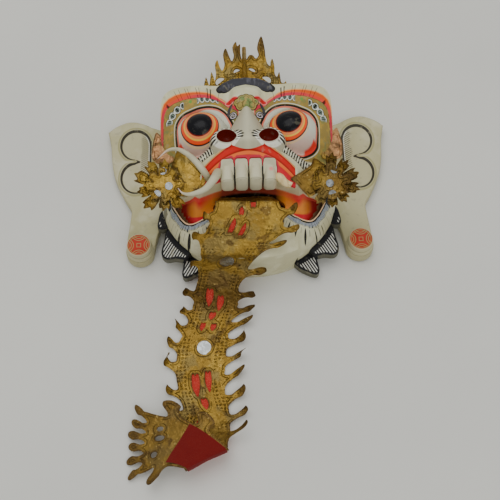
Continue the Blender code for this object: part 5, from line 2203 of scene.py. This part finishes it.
    def bend(self, u: np.ndarray, v: np.ndarray, w: np.ndarray) -> np.ndarray:
        """Bends flat places to the tongue's surface, with its flames curling up.

        Args:
            u: The places across.
            v: The places along.
            w: The heights over the middle of the leather.

        Returns:
            The places on the bench.
        """
        middle, aside, normal = (self.at(rows, v) for rows in (self.middle, self.aside, self.normal))
        normal = normal / np.linalg.norm(normal, axis=1)[:, None]
        half = self.at(self.half, v)
        out = np.clip(np.abs(u) - half, 0, None)
        flat = ramp(v, self.row_run(14.5), self.row_run(15.5))
        curl = np.where(u < 0, 12, 22) * (1 + 0.25 * np.sin(v * 0.21)) + 200 * flat
        angle = np.clip(out / curl, 0, 2.6)
        reach = np.where(out > 0, np.minimum(np.abs(u), half) + curl * np.sin(angle), np.abs(u))
        lift = curl * (1 - np.cos(angle)) * 0.8
        wave = 0.5 * np.sin(v * 0.09 + u * 0.05) + 0.4 * np.sin(u * 0.16 - v * 0.03)
        place = middle + aside * (np.sign(u) * reach)[:, None] + normal * (w + lift + wave)[:, None]
        onward = (self.middle[-1] - self.middle[-2]) / np.linalg.norm(self.middle[-1] - self.middle[-2])
        past = np.clip(v - self.run[-1], 0, None)
        place += onward * past[:, None] + normal * (0.004 * past**2)[:, None]
        place[:, 2] = np.maximum(place[:, 2], w + 2.2)
        return place

    def flat_spot(self, x: float, y: float) -> tuple[float, float]:
        """The flat place of a spot seen from above, before the fold.

        Args:
            x: The spot's x.
            y: The spot's y.

        Returns:
            The place across and the place along.
        """
        last = int(14 * self.per_row)
        best = (1e9, 0.0, 0.0)
        for k in range(last):
            share = np.dot(np.array((x, y)) - self.middle[k, :2], self.aside[k, :2])
            share /= np.dot(self.aside[k, :2], self.aside[k, :2])
            spot = self.middle[k] + self.aside[k] * share
            off = math.hypot(spot[0] - x, spot[1] - y)
            if off < best[0]:
                best = (off, share, self.run[k])
        return best[1], best[2]

    def outline(self) -> list[tuple[float, float]]:
        """The flat outline with all its flames.

        Returns:
            The outline's points.
        """
        sides = {}
        for sign, flames in ((-1, self.left), (1, self.right)):
            points = [(self.half[0], 0.0)]
            before = 0.0
            for row, size, lean in flames:
                run = self.row_run(row)
                gap = (before + run) / 2 if before else run - 12
                edge = float(self.at(self.half, np.array([run]))[0])
                points.append((float(self.at(self.half, np.array([gap]))[0]) - 1.0, gap))
                half, blunt = self.foot if row < self.fold_row else self.fold_feet[(sign + 1) // 2]
                points.extend(lick(run, half, edge - 0.5, self.flame * size, lean, blunt))
                before = run
            sides[sign] = [(sign * u, v) for u, v in points]
        end, wide = self.run[-1], self.half[-1]
        tips = []
        for across, size, lean in self.ends:
            reach = self.flame * size - self.web
            for out, along in lick(across * wide, self.tip_half, end + self.web, reach, lean, self.tip_blunt):
                tips.append((along, out))
        return [*sides[-1], *tips, *reversed(sides[1])]

    def hole_loops(self) -> list[list[tuple[float, float]]]:
        """The perforations, as pointed slots, and the mirror holes.

        Returns:
            One outline for each hole.
        """
        loops = []
        for x, y, wide, tall in self.holes:
            u, v = self.flat_spot(x, y)
            flip = -1 if y > -60 else 1
            loops.append(smooth_loop([(u + wide * a, v + flip * tall * b) for a, b in self.slot], 2))
        for row, share in self.mirrors:
            v = self.row_run(row)
            u = (2 * share - 1) * float(self.at(self.half, np.array([v]))[0])
            loops.append(oval(u, v, self.mirror_hole, self.mirror_hole, 36))
        for u, past, wide, tall in self.fan_holes:
            loops.append(oval(u, self.run[-1] + past, wide, tall, 16))
        return loops

    def mirror_frame(self, index: int) -> Matrix:
        """A mirror's place on the tongue, with Z out of the leather.

        Args:
            index: The mirror's number.

        Returns:
            The place and the turn.
        """
        row, share = self.mirrors[index]
        v = np.array([self.row_run(row)])
        u = (2 * share - 1) * self.at(self.half, v)
        spot = self.bend(u, v, np.array([0.6]))[0]
        normal = Vector(self.at(self.normal, v)[0]).normalized()
        side = Vector(self.at(self.aside, v)[0]).normalized()
        up = normal.cross(side)
        return Matrix.Translation(spot) @ Matrix((side, up, normal)).transposed().to_4x4()

    def build(self) -> bpy.types.Object:
        """Cuts, bends and gilds the tongue, lines it and sets its mirrors.

        Returns:
            The tongue.
        """
        loops = [smooth_loop(self.outline(), 3), *self.hole_loops()]
        obj, spots = CutLeather("tongue_sheet", loops, 2.0, self.thick).flat()
        u, v, w = spots.T
        move_points(obj, self.bend(u, v, w))
        # Painted shade on the steep drop over the chin; the note also darkens the gilding toward the end and
        # on the flames' outer parts.
        steep = ramp(v, self.row_run(5.2), self.row_run(5.9))
        steep = steep * (1 - ramp(v, self.row_run(7.0), self.row_run(7.9)))
        back = ramp(v, self.row_run(12.0), self.row_run(13.0))
        half = self.at(self.half, v)
        out = np.maximum(np.abs(u) - half, v - self.run[-1])
        note(obj, "tarnish_and_shade", np.clip(0.2 + 0.6 * steep + 0.45 * back + 0.6 * ramp(out, 7, 20), 0, 0.9))
        near = np.abs(np.abs(u) - half * 0.72) < half * 0.24
        note(obj, "stamped", (near & (v > self.row_run(3)) & (v < self.row_run(13))).astype(float))
        paint = GildedLeather(Gilding.MIXED).mix()
        settle(obj, "cut_tongue", self.bench, paint, Slot.LEATHER, "tongue")
        glass = MirrorGlass().mix()
        for index in range(len(self.mirrors)):
            frame = self.mirror_frame(index) @ Matrix.Translation((0, 0, -0.4))
            RoundMirror(self.bench, f"tongue_mirror_{index + 1}", frame, self.mirror, 1.1).build(glass)
        self.lining()
        return obj

    def lining(self) -> bpy.types.Object:
        """The felt glued under the leather, cut as a sheet.

        Returns:
            The lining.
        """
        start, end = self.row_run(0.5), self.row_run(18.0)
        runs = np.linspace(start, end, 60)
        half = self.at(self.half, runs) * 0.88
        loop = [*zip(-half, runs), *zip(half[::-1], runs[::-1])]
        obj = cut_sheet("felt_sheet", [loop], 2.4, -self.felt / 2, self.felt)
        spots = points_of(obj)
        u, v, w = spots.T
        drop = self.thick / 2 + 0.35 + self.felt / 2
        move_points(obj, self.bend(u, v, w - drop))
        # Painted shade: marks the felt past the fold for darkening.
        note(obj, "fold", ramp(v, self.row_run(15.0), self.row_run(16.5)))
        settle(obj, "felt_lining", self.bench, RedFelt().mix(), Slot.FELT, "tongue_lining")
        return obj


@dataclass
class Studio:
    """Pale paper on the table, soft light from above, and the camera."""

    bench: Bench
    aim: tuple = (0.0, -30.0, 0.0)
    distance: float = 1100.0
    rise: float = 66.0
    swing: float = -1.8
    half_picture: float = 250.0
    focal: float = 933.0

    def paper(self) -> None:
        """Lays the pale floor."""
        put_down()
        bpy.ops.mesh.primitive_plane_add(size=8)
        floor = bpy.context.object
        floor.name = "pale_floor"
        mix = Recipe("floor_paper", (0.76, 0.76, 0.71, 1))
        mix.lay((0.69, 0.69, 0.655, 1), mix.noise(3, 4).over(0.5, 0.3) * 0.6)
        mix.relief(mix.noise(6, 2), 0.002)
        floor.data.materials.append(mix.done(0.9))

    def lamp(self, name: str, place: tuple, size: float, power: float) -> None:
        """Hangs one soft square lamp that looks at the mask.

        Args:
            name: Its name.
            place: Where it hangs, in metres.
            size: The side of its square.
            power: Its power in watts.
        """
        data = bpy.data.lights.new(name, "AREA")
        data.shape = "SQUARE"
        data.size = size
        data.energy = power
        lamp = bpy.data.objects.new(name, data)
        bpy.context.scene.collection.objects.link(lamp)
        lamp.location = place
        lamp.rotation_euler = (-Vector(place)).to_track_quat("-Z", "Y").to_euler()

    def lights(self) -> None:
        """Hangs the lamps and sets the room's own light."""
        world = bpy.data.worlds.new("room")
        bpy.context.scene.world = world
        world.use_nodes = True
        background = world.node_tree.nodes["Background"]
        background.inputs["Color"].default_value = (1.0, 0.995, 0.97, 1)
        background.inputs["Strength"].default_value = 0.55
        self.lamp("lamp_over", (-0.3, 0.5, 1.9), 1.6, 16)
        self.lamp("lamp_front", (0.6, -1.2, 1.6), 1.2, 7)

    def camera(self) -> None:
        """Stands the camera where the photographer stood."""
        rise, swing = math.radians(self.rise), math.radians(self.swing)
        back = Vector((math.sin(swing) * math.cos(rise), -math.cos(swing) * math.cos(rise), math.sin(rise)))
        aim = self.bench.spot(*self.aim)
        data = bpy.data.cameras.new("photo_camera")
        data.sensor_fit = "HORIZONTAL"
        data.angle = 2 * math.atan(self.half_picture / self.focal)
        data.clip_end = 50
        camera = bpy.data.objects.new("photo_camera", data)
        bpy.context.scene.collection.objects.link(camera)
        camera.location = aim + back * self.distance / 1000
        camera.rotation_euler = back.to_track_quat("Z", "Y").to_euler()
        bpy.context.scene.camera = camera

    def build(self) -> None:
        """Sets the whole studio up."""
        self.paper()
        self.lights()
        self.camera()


TUSKS = (
    (
        "tusk_lower_left",
        (
            (-33, 22, 96), (-34, 16, 106), (-40, 5, 108), (-49, -5, 108), (-63, -10, 108), (-72, -9, 109),
            (-77, -4, 111),
        ),
        6.0, 1.25, TuskFinish.PAINTED,
    ),
    (
        "tusk_upper_left",
        (
            (-43, 13, 94), (-47, 15, 106), (-54, 25, 108), (-63, 36, 108), (-75, 46, 106), (-88, 49, 102),
            (-101, 41, 97),
        ),
        3.9, 3.0, TuskFinish.PAINTED,
    ),
    ("tusk_stub_right", ((30, 16, 94), (34, 9, 105), (38, 2, 108),
    (44, -2, 107)), 5.2, 1.0, TuskFinish.BROKEN),
)


ROSETTES = (
    (
        Side.LEFT, (-93, 8, 96), (-53, 7, 97),
        ((26, -13), (38, -8), (45, 2), (46, 10), (38, 19), (28, 29), (17, 35), (13, 29)),
        ((-1.5, 16.0), (5.0, -1.0), (-8.0, -9.5)), 3,
    ),
    (
        Side.RIGHT, (91, 6, 96), (51.5, 5, 97),
        ((-19, 26), (-22, 20), (-34, 12), (-45, 5), (-39, 0), (-32, -9), (-27, -14), (-24, -16)),
        ((3.5, 14.0), (-2.0, -1.0), (0.5, -13.0)), 8,
    ),
)


def main() -> None:
    """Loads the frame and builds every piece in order."""
    logging.basicConfig(level=logging.INFO, format="%(message)s")
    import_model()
    bench = Bench.measured()
    relief = Relief()
    Studio(bench).build()
    CarvedFace(bench, relief, Drawing()).build()
    for side in Side:
        Ear(bench, side).build()
        Earring(bench, side).build()
        TempleLeaf(bench, side).build()
    for node, line, radius, taper, finish in TUSKS:
        Tusk(bench, node, line, radius, taper, finish).build()
    Crest(bench).build()
    CrestFin(bench).build()
    for side, middle, strap, corners, mirrors, seed in ROSETTES:
        Rosette(bench, side, middle, strap, corners, mirrors, seed=seed).build()
    Tongue(bench, relief).build()


if __name__ == "__main__":
    main()
